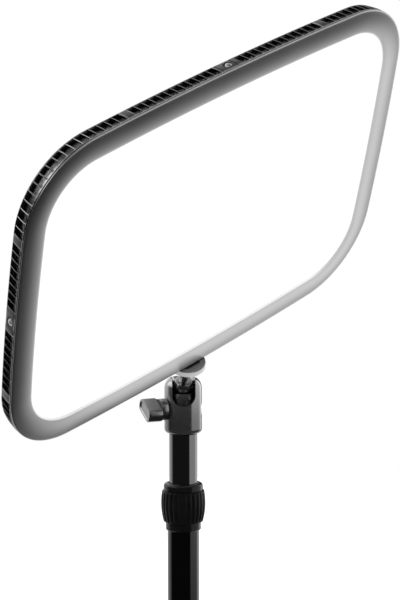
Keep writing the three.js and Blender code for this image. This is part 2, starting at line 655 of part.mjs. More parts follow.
// Solids of the head are drawn about the ball's centre.
const headHousing = () => {
  const footArc = -HEAD_BOTTOM + HEAD_FOOT_ROUNDING;
  const body = turned([
    [0, STUD_HOLE_TOP],
    [TOP_STUD_RADIUS + RUNNING, STUD_HOLE_TOP],
    [TOP_STUD_RADIUS + RUNNING, -HEAD_BOTTOM],
    ...arc(HEAD_RADIUS - HEAD_FOOT_ROUNDING, footArc, HEAD_FOOT_ROUNDING, -90, 0, 3),
    ...arc(HEAD_RADIUS - HEAD_DOME, HEAD_TOP - HEAD_DOME, HEAD_DOME, 0, 58, 5),
    ...arc(0, 0, SOCKET_SPHERE, lipAngle, 0, 3),
    [SOCKET_SPHERE, CAVITY_FLOOR],
    [0, CAVITY_FLOOR],
  ]);
  const slot = box([-NOTCH_HALF_WIDTH, -HEAD_RADIUS - 2, NOTCH_CENTRE], [NOTCH_HALF_WIDTH, 0, HEAD_TOP + 2]);
  const slotEnd = alongY(rod(NOTCH_HALF_WIDTH, -HEAD_RADIUS - 2, 0)).translate(0, 0, NOTCH_CENTRE);
  const screwHole = alongX(rod(KNOB_SCREW_RADIUS + FIT, -HEAD_RADIUS - 2, 0)).rotateZ(KNOB_ANGLE);
  screwHole.translate(0, 0, -KNOB_DROP);
  const nutRecess = alongX(rod(NUT_RADIUS + 0.8, HEAD_RADIUS - NUT_RECESS, HEAD_RADIUS + 2));
  const nutHole = alongX(rod(2.6, SOCKET_SPHERE - 1, HEAD_RADIUS));
  for (const tool of [nutRecess, nutHole]) tool.translate(0, 0, -KNOB_DROP);
  return cut(body, slot, slotEnd, screwHole, nutRecess, nutHole);
};

const ballSeat = () => {
  const rim = -5.5;
  const rimAngle = Math.asin(rim / SOCKET_SPHERE) / DEGREE;
  const body = turned([
    [0, CAVITY_FLOOR + TOUCH],
    [SEAT_RADIUS, CAVITY_FLOOR + TOUCH],
    [SEAT_RADIUS, rim],
    ...arc(0, 0, SOCKET_SPHERE, rimAngle, -90, 5).slice(0, -1),
    [0, -SOCKET_SPHERE],
  ]);
  const pinHole = alongX(rod(KNOB_SCREW_RADIUS + FIT, -SEAT_RADIUS - 2, -4)).rotateZ(KNOB_ANGLE);
  return cut(body, pinHole.translate(0, 0, -KNOB_DROP));
};

const knobScrew = () => alongX(rod(KNOB_SCREW_RADIUS, -HEAD_RADIUS - 8, -4.6)).rotateZ(KNOB_ANGLE);

// The knob is a rounded block on a round neck, bored for its screw.
const headKnob = () => {
  const start = HEAD_RADIUS + KNOB_NECK_LENGTH;
  const block = prism(roundedRectangle(KNOB_LONG / 2, KNOB_SHORT / 2, KNOB_CORNER), KNOB_DEPTH, 1);
  block.rotateZ(-KNOB_TILT);
  block.translate(0, 0, -start - KNOB_DEPTH);
  const neck = turned([
    [0, -start - 2],
    [KNOB_NECK_RADIUS - 2, -start - 2],
    [KNOB_NECK_RADIUS, -start + 1],
    [KNOB_NECK_RADIUS, -HEAD_RADIUS - 0.8],
    [KNOB_NECK_RADIUS - 0.5, -HEAD_RADIUS - FIT],
    [0, -HEAD_RADIUS - FIT],
  ], 24);
  const bore = rod(KNOB_SCREW_RADIUS + TOUCH, -HEAD_RADIUS - 8 - TOUCH, 0);
  return alongX(cut(join(block, neck), bore)).rotateZ(KNOB_ANGLE);
};

const sideNut = () => alongX(turned([
  [0, HEAD_RADIUS - 3.5],
  [2.3, HEAD_RADIUS - 3.5],
  [2.3, HEAD_RADIUS - NUT_RECESS + FIT],
  [NUT_RADIUS, HEAD_RADIUS - NUT_RECESS + FIT],
  [NUT_RADIUS, HEAD_RADIUS - 0.8],
  [NUT_RADIUS - 0.8, HEAD_RADIUS - 0.4],
  [0, HEAD_RADIUS - 0.3],
], 12));

const head = new THREE.Group();
head.position.z = BALL_HEIGHT;
head.rotation.z = HEAD_TURN;
light.add(head);
add(head, 'head_housing', headHousing(), BLACK_METAL);
add(head, 'ball_seat', ballSeat(), DARK_PLASTIC);
add(head, 'side_nut', sideNut().translate(0, 0, -KNOB_DROP), STEEL);
add(head, 'knob_screw', knobScrew().translate(0, 0, -KNOB_DROP), STEEL);
add(head, 'head_knob', headKnob().translate(0, 0, -KNOB_DROP), DARK_PLASTIC);

// Heights along the stem, from the ball's centre.
const DISC_TOP = STEM_TO_PANEL - DISC_GAP;
const DISC_BOTTOM = DISC_TOP - DISC_THICKNESS;
const FLANGE_TOP = DISC_BOTTOM - FIT;
const FLANGE_BOTTOM = FLANGE_TOP - 5;
const flatAngle = Math.acos(BALL_FLAT_RADIUS / BALL_RADIUS) / DEGREE;
const NECK_BOTTOM = BALL_RADIUS * Math.sin(flatAngle * DEGREE);

const ballStud = () => turned([
  [0, -BALL_RADIUS],
  ...arc(0, 0, BALL_RADIUS, -90, flatAngle, 9).slice(1),
  [NECK_RADIUS, NECK_BOTTOM],
  [NECK_RADIUS + NECK_FLARE * 0.4, NECK_BOTTOM + 2],
  [NECK_RADIUS + NECK_FLARE * 0.75, (NECK_BOTTOM + FLANGE_BOTTOM) / 2],
  [NECK_RADIUS + NECK_FLARE, FLANGE_BOTTOM],
  [NECK_RADIUS + NECK_FLARE, FLANGE_TOP],
  [STUD_RADIUS, FLANGE_TOP],
  [STUD_RADIUS, STEM_TO_PANEL + STUD_LENGTH],
  [0, STEM_TO_PANEL + STUD_LENGTH],
], 24);

const lockDisc = () => turned([
  [STUD_RADIUS + FIT, DISC_BOTTOM],
  [DISC_RADIUS - DISC_EDGE, DISC_BOTTOM],
  [DISC_RADIUS, DISC_BOTTOM + DISC_EDGE],
  [DISC_RADIUS, DISC_TOP - DISC_EDGE],
  [DISC_RADIUS - DISC_EDGE, DISC_TOP],
  [DISC_RADIUS - 4, DISC_TOP],
  [DISC_RADIUS - 4, STEM_TO_PANEL - 1.2],
  [STUD_RADIUS + FIT, STEM_TO_PANEL - 1.2],
  [STUD_RADIUS + FIT, DISC_BOTTOM],
]);

const stem = new THREE.Group();
stem.position.z = BALL_HEIGHT;
stem.rotation.x = HEAD_LEAN;
light.add(stem);
add(stem, 'ball_stud', ballStud(), STEEL);
add(stem, 'lock_disc', lockDisc(), DARK_PLASTIC);

// ================================================================ panel light
// In the panel's own frame X runs right, Z up and Y back from the front plane.
const panel = new THREE.Group();
const panelTurn = new THREE.Group();
panelTurn.rotation.z = PANEL_SPIN;
stem.add(panelTurn);
panelTurn.add(panel);
panel.position.set(0, -MOUNT_DEPTH, STEM_TO_PANEL + PANEL_HEIGHT / 2);

const CHASSIS_BACK = RIM_DEPTH - CHASSIS_STEP;
const DIFFUSER_FRONT = BEZEL_BACK + FIT;
const DIFFUSER_BACK = DIFFUSER_FRONT + DIFFUSER_THICKNESS;
const FILM_FRONT = DIFFUSER_BACK + FIT;
const GUIDE_FRONT = FILM_FRONT + FILM_THICKNESS + FIT;
const GUIDE_BACK = GUIDE_FRONT + GUIDE_THICKNESS;
const REFLECTOR_FRONT = GUIDE_BACK + FIT;
const CHASSIS_FLOOR = CHASSIS_BACK - SHEET_METAL;
const FRAME_BACK = CHASSIS_FLOOR - FIT;
const FRAME_OUTER = CHASSIS_INSET + CHASSIS_WALL + FIT;
const RIM_FRONT = BEZEL_BACK + FIT;
const INSERT_RADIUS = 3.8;
const INSERT_BORE = STUD_RADIUS + 0.2;
const SCREW_SHANK = 1.5;
const SCREW_HEAD = 2.7;
const REAR_SCREW_EDGE = 35;
const REAR_SCREW_X = PANEL_WIDTH / 2 - REAR_SCREW_EDGE;
const REAR_SCREW_Z = PANEL_HEIGHT / 2 - REAR_SCREW_EDGE;
const POST_TOP = RIM_DEPTH + FIT;

// A round tool along a direction in the panel's plane, from the middle outwards.
const sideTool = (radius, from, to, angle, sides = SMALL_ROUND) =>
  alongX(rod(radius, from, to, sides)).rotateY(-angle).translate(0, MOUNT_DEPTH, 0);

// The three side screws and the threaded insert: angle in the panel's plane, and reach.
const EDGES = {
  right: { angle: 0, reach: PANEL_WIDTH / 2 },
  top: { angle: Math.PI / 2, reach: PANEL_HEIGHT / 2 },
  left: { angle: Math.PI, reach: PANEL_WIDTH / 2 },
};
const BOTTOM_ANGLE = -Math.PI / 2;
const BOTTOM_REACH = PANEL_HEIGHT / 2;
const SCREW_REACH = 9;
const INSERT_LENGTH = STUD_LENGTH + 1;

const shankHoles = () => Object.values(EDGES).map(({ angle, reach }) =>
  sideTool(SCREW_SHANK + FIT, reach - SCREW_REACH - FIT, reach + 2, angle));
const insertHole = () =>
  sideTool(INSERT_RADIUS + FIT, BOTTOM_REACH - INSERT_LENGTH - 1, BOTTOM_REACH + 2, BOTTOM_ANGLE);

const frontBezel = () => panelRing([
  [0.5, BEZEL_BACK],
  [0, 1.2],
  [0.5, 0.5],
  [4, -0.3],
  [9, -0.5],
  [14, 0],
  [BEZEL_WIDTH - 0.3, 0.9],
  [BEZEL_WIDTH, 1.3],
  [BEZEL_WIDTH - 0.2, BEZEL_BACK],
]);

// Distances along a quarter of the outline, at which the vent slots are centred. Near the
// middle of each side and at its quarter points the rim is left solid.
const ventPlaces = () => {
  const halves = [PANEL_WIDTH / 2, PANEL_HEIGHT / 2];
  const arcs = quarterArcs(...halves, PANEL_CORNER, PANEL_TOP_RADIUS, PANEL_SIDE_RADIUS);
  const lengths = arcs.map((piece) => Math.abs(piece.to - piece.from) * piece.radius);
  const total = lengths.reduce((sum, length) => sum + length, 0);
  const count = Math.round(total / VENT_PITCH);
  const topWeb = Math.round(PANEL_WIDTH / 4 / total * count);
  const sideWeb = count - Math.round(PANEL_HEIGHT / 4 / total * count);
  const places = [];
  for (let k = 2; k <= count - 2; k += 1) {
    if (k === topWeb || k === sideWeb) continue;
    let distance = total * k / count;
    let piece = 0;
    while (distance > lengths[piece]) {
      distance -= lengths[piece];
      piece += 1;
    }
    const { from, to } = arcs[piece];
    const angle = from + (to - from) * distance / lengths[piece];
    places.push({ point: arcPoint(arcs[piece], angle), angle });
  }
  return { places, pitch: total / count };
};

const SLOT_FRONT = RIM_FRONT + VENT_RAIL;
const SLOT_BACK = RIM_DEPTH - VENT_RAIL;

const ventRim = () => {
  const ring = panelRing([
    [0.3, RIM_FRONT],
    [0, SLOT_FRONT - 0.1],
    [RIM_TAPER * 0.72, SLOT_BACK + 0.1],
    [RIM_TAPER, RIM_DEPTH],
    [RIM_TAPER + RIM_WALL, RIM_DEPTH],
    [RIM_TAPER * 0.72 + RIM_WALL, SLOT_BACK + 0.1],
    [RIM_WALL, SLOT_FRONT - 0.1],
    [RIM_WALL + 0.3, RIM_FRONT],
  ]);
  const { places, pitch } = ventPlaces();
  const reach = RIM_TAPER + 2 * RIM_WALL;
  const slots = [];
  for (const { point, angle } of places) {
    for (const [sideX, sideZ] of [[1, 1], [1, -1], [-1, 1], [-1, -1]]) {
      const slot = box([-reach, SLOT_FRONT, -(pitch - VENT_RIB) / 2], [2, SLOT_BACK, (pitch - VENT_RIB) / 2]);
      slot.rotateY(-Math.atan2(Math.sin(angle) * sideZ, Math.cos(angle) * sideX));
      slot.translate(point.x * sideX, 0, point.y * sideZ);
      slots.push(toManifold(slot));
    }
  }
  let rim = toManifold(ring).subtract(wasm.Manifold.union(slots));
  for (const { angle, reach: edge } of Object.values(EDGES)) {
    rim = rim.subtract(toManifold(sideTool(SCREW_HEAD + FIT, edge - 6, edge + 2, angle)));
  }
  return fromManifold(rim.subtract(toManifold(insertHole())));
};

const chassis = () => {
  const tray = loft(panelLoops([
    [CHASSIS_INSET, CHASSIS_BACK],
    [CHASSIS_INSET, RIM_FRONT],
    [CHASSIS_INSET + CHASSIS_WALL, RIM_FRONT],
    [CHASSIS_INSET + CHASSIS_WALL, CHASSIS_FLOOR],
  ]), false);
  const posts = rearScrewPlaces().map(([x, z]) =>
    alongY(rod(3.4, CHASSIS_BACK - 0.4, POST_TOP, 12)).translate(x, 0, z));
  const bores = rearScrewPlaces().map(([x, z]) =>
    alongY(rod(1.6, CHASSIS_FLOOR + 0.4, POST_TOP + 1, 12)).translate(x, 0, z));
  return cut(join(tray, ...posts), ...bores, ...shankHoles(), insertHole());
};

const rearScrewPlaces = () => [[1, 1], [1, -1], [-1, 1], [-1, -1]]
  .map(([x, z]) => [x * REAR_SCREW_X, z * REAR_SCREW_Z]);

const lightFrame = () => cut(panelRing([
  [FRAME_OUTER, RIM_FRONT],
  [DIFFUSER_INSET - FIT, RIM_FRONT],
  [DIFFUSER_INSET - FIT, FRAME_BACK],
  [FRAME_OUTER, FRAME_BACK],
]), ...shankHoles(), insertHole());

// One strip of emitters stands between the light guide's edge and the frame on each side.
const stripBar = (half, reach, angle) => {
  const outer = reach - GUIDE_INSET + STRIP_THICKNESS + FIT;
  return box([outer - STRIP_THICKNESS, GUIDE_FRONT, -half], [outer, GUIDE_BACK, half]).rotateY(-angle);
};

const INLET = [-38, -40];
const POWER = [0, -40];
const RESET = [24, -40];
const BUTTON_RADIUS = 5;
const RESET_RADIUS = 2.2;
const INLET_RADIUS = 5.2;
const COVER_FRONT = RIM_DEPTH + FIT;
const INNER_BACK = PANEL_DEPTH - COVER_WALL;

const rearCover = () => {
  const shell = loft([
    { outline: housingOutline(8), depth: PANEL_DEPTH },
    { outline: housingOutline(6), depth: PANEL_DEPTH - 1.5 },
    { outline: housingOutline(0), depth: COVER_FRONT + 4.5 },
    ...panelLoops([[5, COVER_FRONT + 1.6], [3.4, COVER_FRONT], [5.2, COVER_FRONT]]),
    { outline: housingOutline(COVER_WALL), depth: COVER_FRONT + 2.7 },
    { outline: housingOutline(6 + COVER_WALL), depth: INNER_BACK },
  ], false);
  const hole = (radius, [x, z]) => alongY(rod(radius, INNER_BACK - 2, PANEL_DEPTH + 2)).translate(x, 0, z);
  const screwTools = rearScrewPlaces().flatMap(([x, z]) => [
    alongY(rod(SCREW_HEAD + FIT, COVER_FRONT + 2.4, COVER_FRONT + 9)).translate(x, 0, z),
    alongY(rod(SCREW_SHANK + FIT, COVER_FRONT - 2, COVER_FRONT + 9)).translate(x, 0, z),
  ]);
  return cut(
    shell,
    hole(INLET_RADIUS + FIT, INLET),
    hole(BUTTON_RADIUS + FIT, POWER),
    hole(RESET_RADIUS + FIT, RESET),
    ...screwTools,
  );
};

const powerInlet = () => alongY(turned([
  [0, 18],
  [INLET_RADIUS, 18],
  [INLET_RADIUS, PANEL_DEPTH + FIT],
  [INLET_RADIUS + 1.5, PANEL_DEPTH + FIT],
  [INLET_RADIUS + 1.5, PANEL_DEPTH + 1.4],
  [3.2, PANEL_DEPTH + 1.4],
  [3.2, 20.5],
  [1.05, 20.5],
  [1.05, PANEL_DEPTH - 1],
  [0, PANEL_DEPTH - 1],
], SMALL_ROUND)).translate(INLET[0], 0, INLET[1]);

// A push button with an inner flange that keeps it behind the cover.
const pushButton = (radius, proud, [x, z]) => alongY(turned([
  [0, INNER_BACK - 3.4],
  [radius + 1.4, INNER_BACK - 3.4],
  [radius + 1.4, INNER_BACK - FIT],
  [radius, INNER_BACK - FIT],
  [radius, PANEL_DEPTH + proud - 0.4],
  [radius - 0.4, PANEL_DEPTH + proud],
  [0, PANEL_DEPTH + proud],
], SMALL_ROUND)).translate(x, 0, z);

const controllerBoard = () => {
  const board = box([-60, CHASSIS_BACK + 3.2, -30], [60, CHASSIS_BACK + 4.8, 30]);
  const coil = box([-44, CHASSIS_BACK + 4, 2], [-18, CHASSIS_BACK + 11, 22]);
  const radio = box([20, CHASSIS_BACK + 4, 4], [46, CHASSIS_BACK + 7, 22]);
  const chip = box([-8, CHASSIS_BACK + 4, -6], [6, CHASSIS_BACK + 6.2, 8]);
  return join(board, coil, radio, chip);
};

const edgeScrew = ({ angle, reach }) => {
  const body = turned([
    [0, reach - SCREW_REACH],
    [SCREW_SHANK, reach - SCREW_REACH],
    [SCREW_SHANK, reach - 2.2],
    [SCREW_HEAD, reach - 2.2],
    [SCREW_HEAD, reach - 0.8],
    [SCREW_HEAD - 0.6, reach - 0.3],
    [1.2, reach - 0.3],
    [1.2, reach - 1.4],
    [0, reach - 1.4],
  ], SMALL_ROUND);
  return alongX(body).rotateY(-angle).translate(0, MOUNT_DEPTH, 0);
};

const threadInsert = () => {
  const inner = BOTTOM_REACH - INSERT_LENGTH;
  const bush = pipe(INSERT_BORE, INSERT_RADIUS, inner, BOTTOM_REACH - 0.3, SMALL_ROUND);
  return alongX(bush).rotateY(-BOTTOM_ANGLE).translate(0, MOUNT_DEPTH, 0);
};

const rearScrew = ([x, z]) => alongY(turned([
  [0, CHASSIS_FLOOR + 0.8],
  [1.3, CHASSIS_FLOOR + 0.8],
  [1.3, COVER_FRONT + 2.7],
  [SCREW_HEAD, COVER_FRONT + 2.7],
  [SCREW_HEAD, COVER_FRONT + 3.9],
  [SCREW_HEAD - 0.5, COVER_FRONT + 4.4],
  [0, COVER_FRONT + 4.4],
], SMALL_ROUND)).translate(x, 0, z);

add(panel, 'front_bezel', frontBezel(), BLACK_METAL);
add(panel, 'diffuser', panelPlate(DIFFUSER_INSET, DIFFUSER_FRONT, DIFFUSER_BACK), OPAL);
add(panel, 'diffuser_film', panelPlate(DIFFUSER_INSET, FILM_FRONT, FILM_FRONT + FILM_THICKNESS), WHITE_SHEET);
add(panel, 'light_guide', panelPlate(GUIDE_INSET, GUIDE_FRONT, GUIDE_BACK), CLEAR);
const REFLECTOR_BACK = REFLECTOR_FRONT + FILM_THICKNESS;
add(panel, 'reflector_sheet', panelPlate(GUIDE_INSET, REFLECTOR_FRONT, REFLECTOR_BACK), WHITE_SHEET);
const TOP_STRIP_HALF = PANEL_WIDTH / 2 - PANEL_CORNER - 8;
const SIDE_STRIP_HALF = PANEL_HEIGHT / 2 - PANEL_CORNER - 4;
add(panel, 'led_strip_top', stripBar(TOP_STRIP_HALF, PANEL_HEIGHT / 2, Math.PI / 2), BOARD);
add(panel, 'led_strip_bottom', stripBar(TOP_STRIP_HALF, PANEL_HEIGHT / 2, -Math.PI / 2), BOARD);
add(panel, 'led_strip_left', stripBar(SIDE_STRIP_HALF, PANEL_WIDTH / 2, Math.PI), BOARD);
add(panel, 'led_strip_right', stripBar(SIDE_STRIP_HALF, PANEL_WIDTH / 2, 0), BOARD);
add(panel, 'light_frame', lightFrame(), WHITE_SHEET);
add(panel, 'chassis', chassis(), ALUMINIUM);
add(panel, 'vent_rim', ventRim(), BLACK_METAL);
add(panel, 'rear_cover', rearCover(), BLACK_METAL);
add(panel, 'controller_board', controllerBoard(), BOARD);
add(panel, 'power_inlet', powerInlet(), BLACK_PLASTIC);
add(panel, 'power_button', pushButton(BUTTON_RADIUS, 1.6, POWER), DARK_PLASTIC);
add(panel, 'reset_button', pushButton(RESET_RADIUS, 0.9, RESET), DARK_PLASTIC);
add(panel, 'thread_insert', threadInsert(), BRASS);
for (const [side, edge] of Object.entries(EDGES)) add(panel, `edge_screw_${side}`, edgeScrew(edge), STEEL);
rearScrewPlaces().forEach((place, i) => add(panel, `rear_screw_${i + 1}`, rearScrew(place), STEEL));

export default light;
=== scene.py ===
import json
import math

import bmesh
import bpy
import numpy as np
from mathutils import Matrix, Vector


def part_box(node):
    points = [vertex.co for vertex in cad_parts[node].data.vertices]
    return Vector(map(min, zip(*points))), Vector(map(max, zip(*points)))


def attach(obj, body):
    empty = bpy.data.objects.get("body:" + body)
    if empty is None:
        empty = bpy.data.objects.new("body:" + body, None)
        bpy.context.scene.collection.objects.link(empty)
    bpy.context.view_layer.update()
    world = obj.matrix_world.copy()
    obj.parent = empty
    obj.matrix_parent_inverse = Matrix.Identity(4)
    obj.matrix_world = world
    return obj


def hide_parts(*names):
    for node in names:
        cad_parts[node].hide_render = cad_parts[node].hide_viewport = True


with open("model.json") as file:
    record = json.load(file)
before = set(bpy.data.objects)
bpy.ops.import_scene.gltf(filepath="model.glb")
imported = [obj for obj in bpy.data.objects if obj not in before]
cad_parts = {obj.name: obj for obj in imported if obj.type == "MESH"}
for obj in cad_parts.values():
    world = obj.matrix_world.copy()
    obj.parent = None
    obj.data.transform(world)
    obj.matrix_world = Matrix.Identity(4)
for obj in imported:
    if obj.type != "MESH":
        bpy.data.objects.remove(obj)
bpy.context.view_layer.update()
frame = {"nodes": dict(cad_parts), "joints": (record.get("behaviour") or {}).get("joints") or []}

# A desk-clamped studio panel light. Shapes are worked out in millimetres in the own axes of
# the panel, the stem, the head or the pole, and placed in metres in the CAD model's frame.
MM = 0.001
NODES = frame["nodes"]
JOINTS = {joint["name"]: joint for joint in frame["joints"]}


# ------------------------------------------------------------------ where things are
def unit(vector):
    vector = np.array(vector, float)
    return vector / np.linalg.norm(vector)


def corners(node):
    """The lowest and highest corner of a CAD node, in millimetres."""
    low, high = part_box(node)
    return np.array(low) / MM, np.array(high) / MM


class Place:
    """Three axes and an origin. Points given in it, in millimetres, go to the model's frame in metres."""

    def __init__(self, origin, x=(1, 0, 0), y=(0, 1, 0), z=(0, 0, 1)):
        self.origin = np.array(origin, float)
        self.axes = np.array([x, y, z], float)

    def out(self, points):
        return (self.origin + np.asarray(points, float) @ self.axes) * MM

    def extent(self, node):
        """Lowest and highest coordinates of a CAD node along this place's own axes."""
        points = np.array([v.co for v in NODES[node].data.vertices], float) / MM
        local = (points - self.origin) @ self.axes.T
        return local.min(0), local.max(0)


BALL = np.array(JOINTS["ball_tilt"]["pos_m"], float) / MM
UP = unit(JOINTS["panel_spin"]["axis"])
BACK = -unit(JOINTS["power_press"]["axis"])
BACK = unit(BACK - BACK.dot(UP) * UP)
RIGHT = np.cross(BACK, UP)
BEZEL_CROWN = 0.5

POLE = Place((0, 0, 0))
STEM = Place(BALL, RIGHT, BACK, UP)
bezel_low, bezel_high = STEM.extent("front_bezel")
panel_middle = (bezel_low + bezel_high) / 2
panel_front = bezel_low[1] + BEZEL_CROWN
PANEL = Place(BALL + RIGHT * panel_middle[0] + BACK * panel_front + UP * panel_middle[2], RIGHT, BACK, UP)
HALF_WIDTH = (bezel_high[0] - bezel_low[0]) / 2
HALF_HEIGHT = (bezel_high[2] - bezel_low[2]) / 2

KNOB_AXIS = unit(JOINTS["knob_turn"]["axis"])
KNOB_ANGLE = math.radians(20)
HEAD_TURN = math.atan2(-KNOB_AXIS[1], -KNOB_AXIS[0]) - KNOB_ANGLE
cos_turn, sin_turn = math.cos(HEAD_TURN), math.sin(HEAD_TURN)
HEAD = Place(BALL, (cos_turn, sin_turn, 0), (-sin_turn, cos_turn, 0))
KNOB_DROP = BALL[2] - JOINTS["knob_turn"]["pos_m"][2] / MM
KNOB_SIDE = np.array([KNOB_AXIS[1], -KNOB_AXIS[0], 0])
KNOB = Place(BALL - np.array([0, 0, KNOB_DROP]), (0, 0, 1), KNOB_SIDE, KNOB_AXIS)


# ------------------------------------------------------------------ shader expressions
class Link:
    """One output socket. Arithmetic on it adds Math nodes to its tree."""

    def __init__(self, shader, socket):
        self.shader = shader
        self.socket = socket

    def maths(self, operation, *values):
        return self.shader.node("Math", {"operation": operation}, dict(enumerate(values)))

    def __add__(self, other):
        return self.maths("ADD", self, other)

    def __sub__(self, other):
        return self.maths("SUBTRACT", self, other)

    def __rsub__(self, other):
        return self.maths("SUBTRACT", other, self)

    def __mul__(self, other):
        return self.maths("MULTIPLY", self, other)

    def __truediv__(self, other):
        return self.maths("DIVIDE", self, other)

    def __pow__(self, other):
        return self.maths("POWER", self, other)

    __radd__ = __add__
    __rmul__ = __mul__

    def rise(self, low, high, from_value=0.0, to_value=1.0):
        """Goes smoothly from from_value at low to to_value at high, and stays flat outside."""
        return self.shader.node(
            "MapRange",
            {"interpolation_type": "SMOOTHSTEP"},
            {0: self, 1: low, 2: high, 3: from_value, 4: to_value},
        )


class Shader:
    """A node tree. Every node in it is made by node()."""

    def __init__(self, tree):
        self.tree = tree
        tree.nodes.clear()

    def node(self, kind, settings=None, inputs=None, output=0):
        made = self.tree.nodes.new("ShaderNode" + kind)
        for key, value in (settings or {}).items():
            setattr(made, key, value)
        for key, value in (inputs or {}).items():
            if isinstance(value, Link):
                self.tree.links.new(value.socket, made.inputs[key])
            else:
                made.inputs[key].default_value = value
        return Link(self, made.outputs[output]) if len(made.outputs) else None

    def place(self, scale=(1, 1, 1)):
        """Object coordinates in millimetres, stretched by scale."""
        here = self.node("TexCoord", output="Object")
        factors = [part / MM for part in scale]
        return self.node("Mapping", {}, {"Vector": here, "Scale": factors})

    def axis(self, along, origin):
        """The distance in millimetres of a point from origin along a direction."""
        here = self.node("TexCoord", output="Object")
        offset = self.node("VectorMath", {"operation": "SUBTRACT"}, {0: here, 1: tuple(origin)})
        inputs = {0: offset, 1: tuple(along)}
        dot = self.node("VectorMath", {"operation": "DOT_PRODUCT"}, inputs, "Value")
        return dot * (1 / MM)

    def attribute(self, name):
        return self.node("Attribute", {"attribute_name": name}, output="Fac")

    def noise(self, scale, detail=3.0, roughness=0.5, stretch=(1, 1, 1)):
        return self.node(
            "TexNoise",
            {},
            {"Vector": self.place(stretch), "Scale": scale, "Detail": detail, "Roughness": roughness},
        )

    def cells(self, scale):
        return self.node("TexVoronoi", {}, {"Vector": self.place(), "Scale": scale}, "Distance")

    def mix(self, factor, first, second):
        return self.node(
            "Mix",
            {"data_type": "RGBA"},
            {"Factor": factor, 6: colour(first), 7: colour(second)},
            2,
        )

    def bump(self, height, distance_mm, strength=1.0):
        inputs = {"Height": height, "Distance": distance_mm * MM, "Strength": strength}
        return self.node("Bump", {}, inputs)

    def finish(self, **sockets):
        """The Principled surface, its sockets named with underscores for spaces."""
        inputs = {name.replace("_", " "): value for name, value in sockets.items()}
        for name in ("Base Color", "Emission Color"):
            if name in inputs:
                inputs[name] = colour(inputs[name])
        surface = self.node("BsdfPrincipled", {}, inputs)
        self.node("OutputMaterial", {}, {"Surface": surface})


def colour(value):
    """A grey level or three parts as a colour. A link stays as it is."""
    if isinstance(value, Link):
        return value
    parts = (value,) * 3 if isinstance(value, (int, float)) else value
    return (*parts, 1.0)


def material(name):
    made = bpy.data.materials.new(name)
    made.use_nodes = True
    return made, Shader(made.node_tree)


# ------------------------------------------------------------------ materials
def metal(name, dark, light, roughness, spread, grain, **more):
    """Satin metal: its colour and gloss drift over the surface, with a fine grain in relief."""
    made, s = material(name)
    drift = s.noise(0.05, 4.0, 0.6)
    fine = s.noise(grain, 2.0, 0.5)
    s.finish(
        Base_Color=s.mix(drift.rise(0.3, 0.7), dark, light),
        Roughness=drift * spread + (roughness - spread / 2),
        Metallic=1.0,
        Normal=s.bump(fine, 0.01, 0.35),
        **more,
    )
    return made


def plastic(name, dark, light, roughness, grain, relief, shine=0.4):
    """Moulded plastic: a spark-eroded grain in relief and slightly worn patches."""
    made, s = material(name)
    worn = s.noise(0.08, 3.0, 0.6)
    pits = s.noise(grain, 3.0, 0.6)
    s.finish(
        Base_Color=s.mix(worn.rise(0.35, 0.75) * 0.7 + pits * 0.3, dark, light),
        Roughness=worn * 0.12 + (roughness - 0.06),
        Specular_IOR_Level=shine,
        Normal=s.bump(pits, relief, 0.6),
    )
    return made


def rim_paint():
    """Dark anodised metal with a painted highlight: paler on the rails and ribs than on the closed webs.
    """
    made, s = material("rim_satin")
    edge_highlight = s.attribute("across")
    drift = s.noise(0.05, 4.0, 0.6)
    fine = s.noise(2.2, 2.0, 0.5)
    s.finish(
        # Painted highlight: the rails and ribs are paler than the closed webs.
        Base_Color=s.mix(edge_highlight * (drift * 0.3 + 0.85), 0.035, 0.26),
        Metallic=1.0,
        Roughness=drift * 0.06 + 0.2,
        Normal=s.bump(fine, 0.01, 0.3),
    )
    return made


def head_paint():
    """Glossy dark enamel on the head, with painted light that makes it a little paler towards its top."""
    made, s = material("head_black")
    height = s.axis((0, 0, 1), BALL * MM)
    smear = s.noise(0.06, 3.0, 0.55)
    s.finish(
        # Painted light: the enamel grows paler towards the head's top.
        Base_Color=s.mix(height.rise(-28, 8) + smear * 0.1, 0.15, 0.36),
        Metallic=0.86,
        Roughness=smear * 0.05 + 0.12,
        Normal=s.bump(smear, 0.01, 0.2),
    )
    return made


def disc_paint():
    """The lock disc: dark anodised faces, and a side painted pale and less metallic as a highlight where
    it catches the light, with brushed lines.
    """
    made, s = material("disc_satin")
    side = s.attribute("across")
    lines = s.noise(1.4, 2.0, 0.5, (0.1, 0.1, 1.0))
    s.finish(
        # Painted highlight: the side is paler and less metallic than the faces.
        Base_Color=s.mix(side, 0.17, 0.6),
        Metallic=1.0 - side * 0.85,
        Roughness=lines * 0.06 + side * 0.15 + 0.24,
        Normal=s.bump(lines, 0.006, 0.3),
    )
    return made


def gloss_black(name, level, roughness, along):
    """Black chrome: deep reflections with faint drawing lines along one axis and soft smears."""
    made, s = material(name)
    stretch = [0.04 if k == along else 1.0 for k in range(3)]
    lines = s.noise(1.6, 2.0, 0.5, stretch)
    smear = s.noise(0.06, 3.0, 0.55)
    s.finish(
        Base_Color=s.mix(smear, level * 0.9, level * 1.1),
        Metallic=1.0,
        Roughness=smear * 0.05 + lines * 0.02 + roughness - 0.03,
        Normal=s.bump(lines, 0.002, 0.3),
    )
    return made


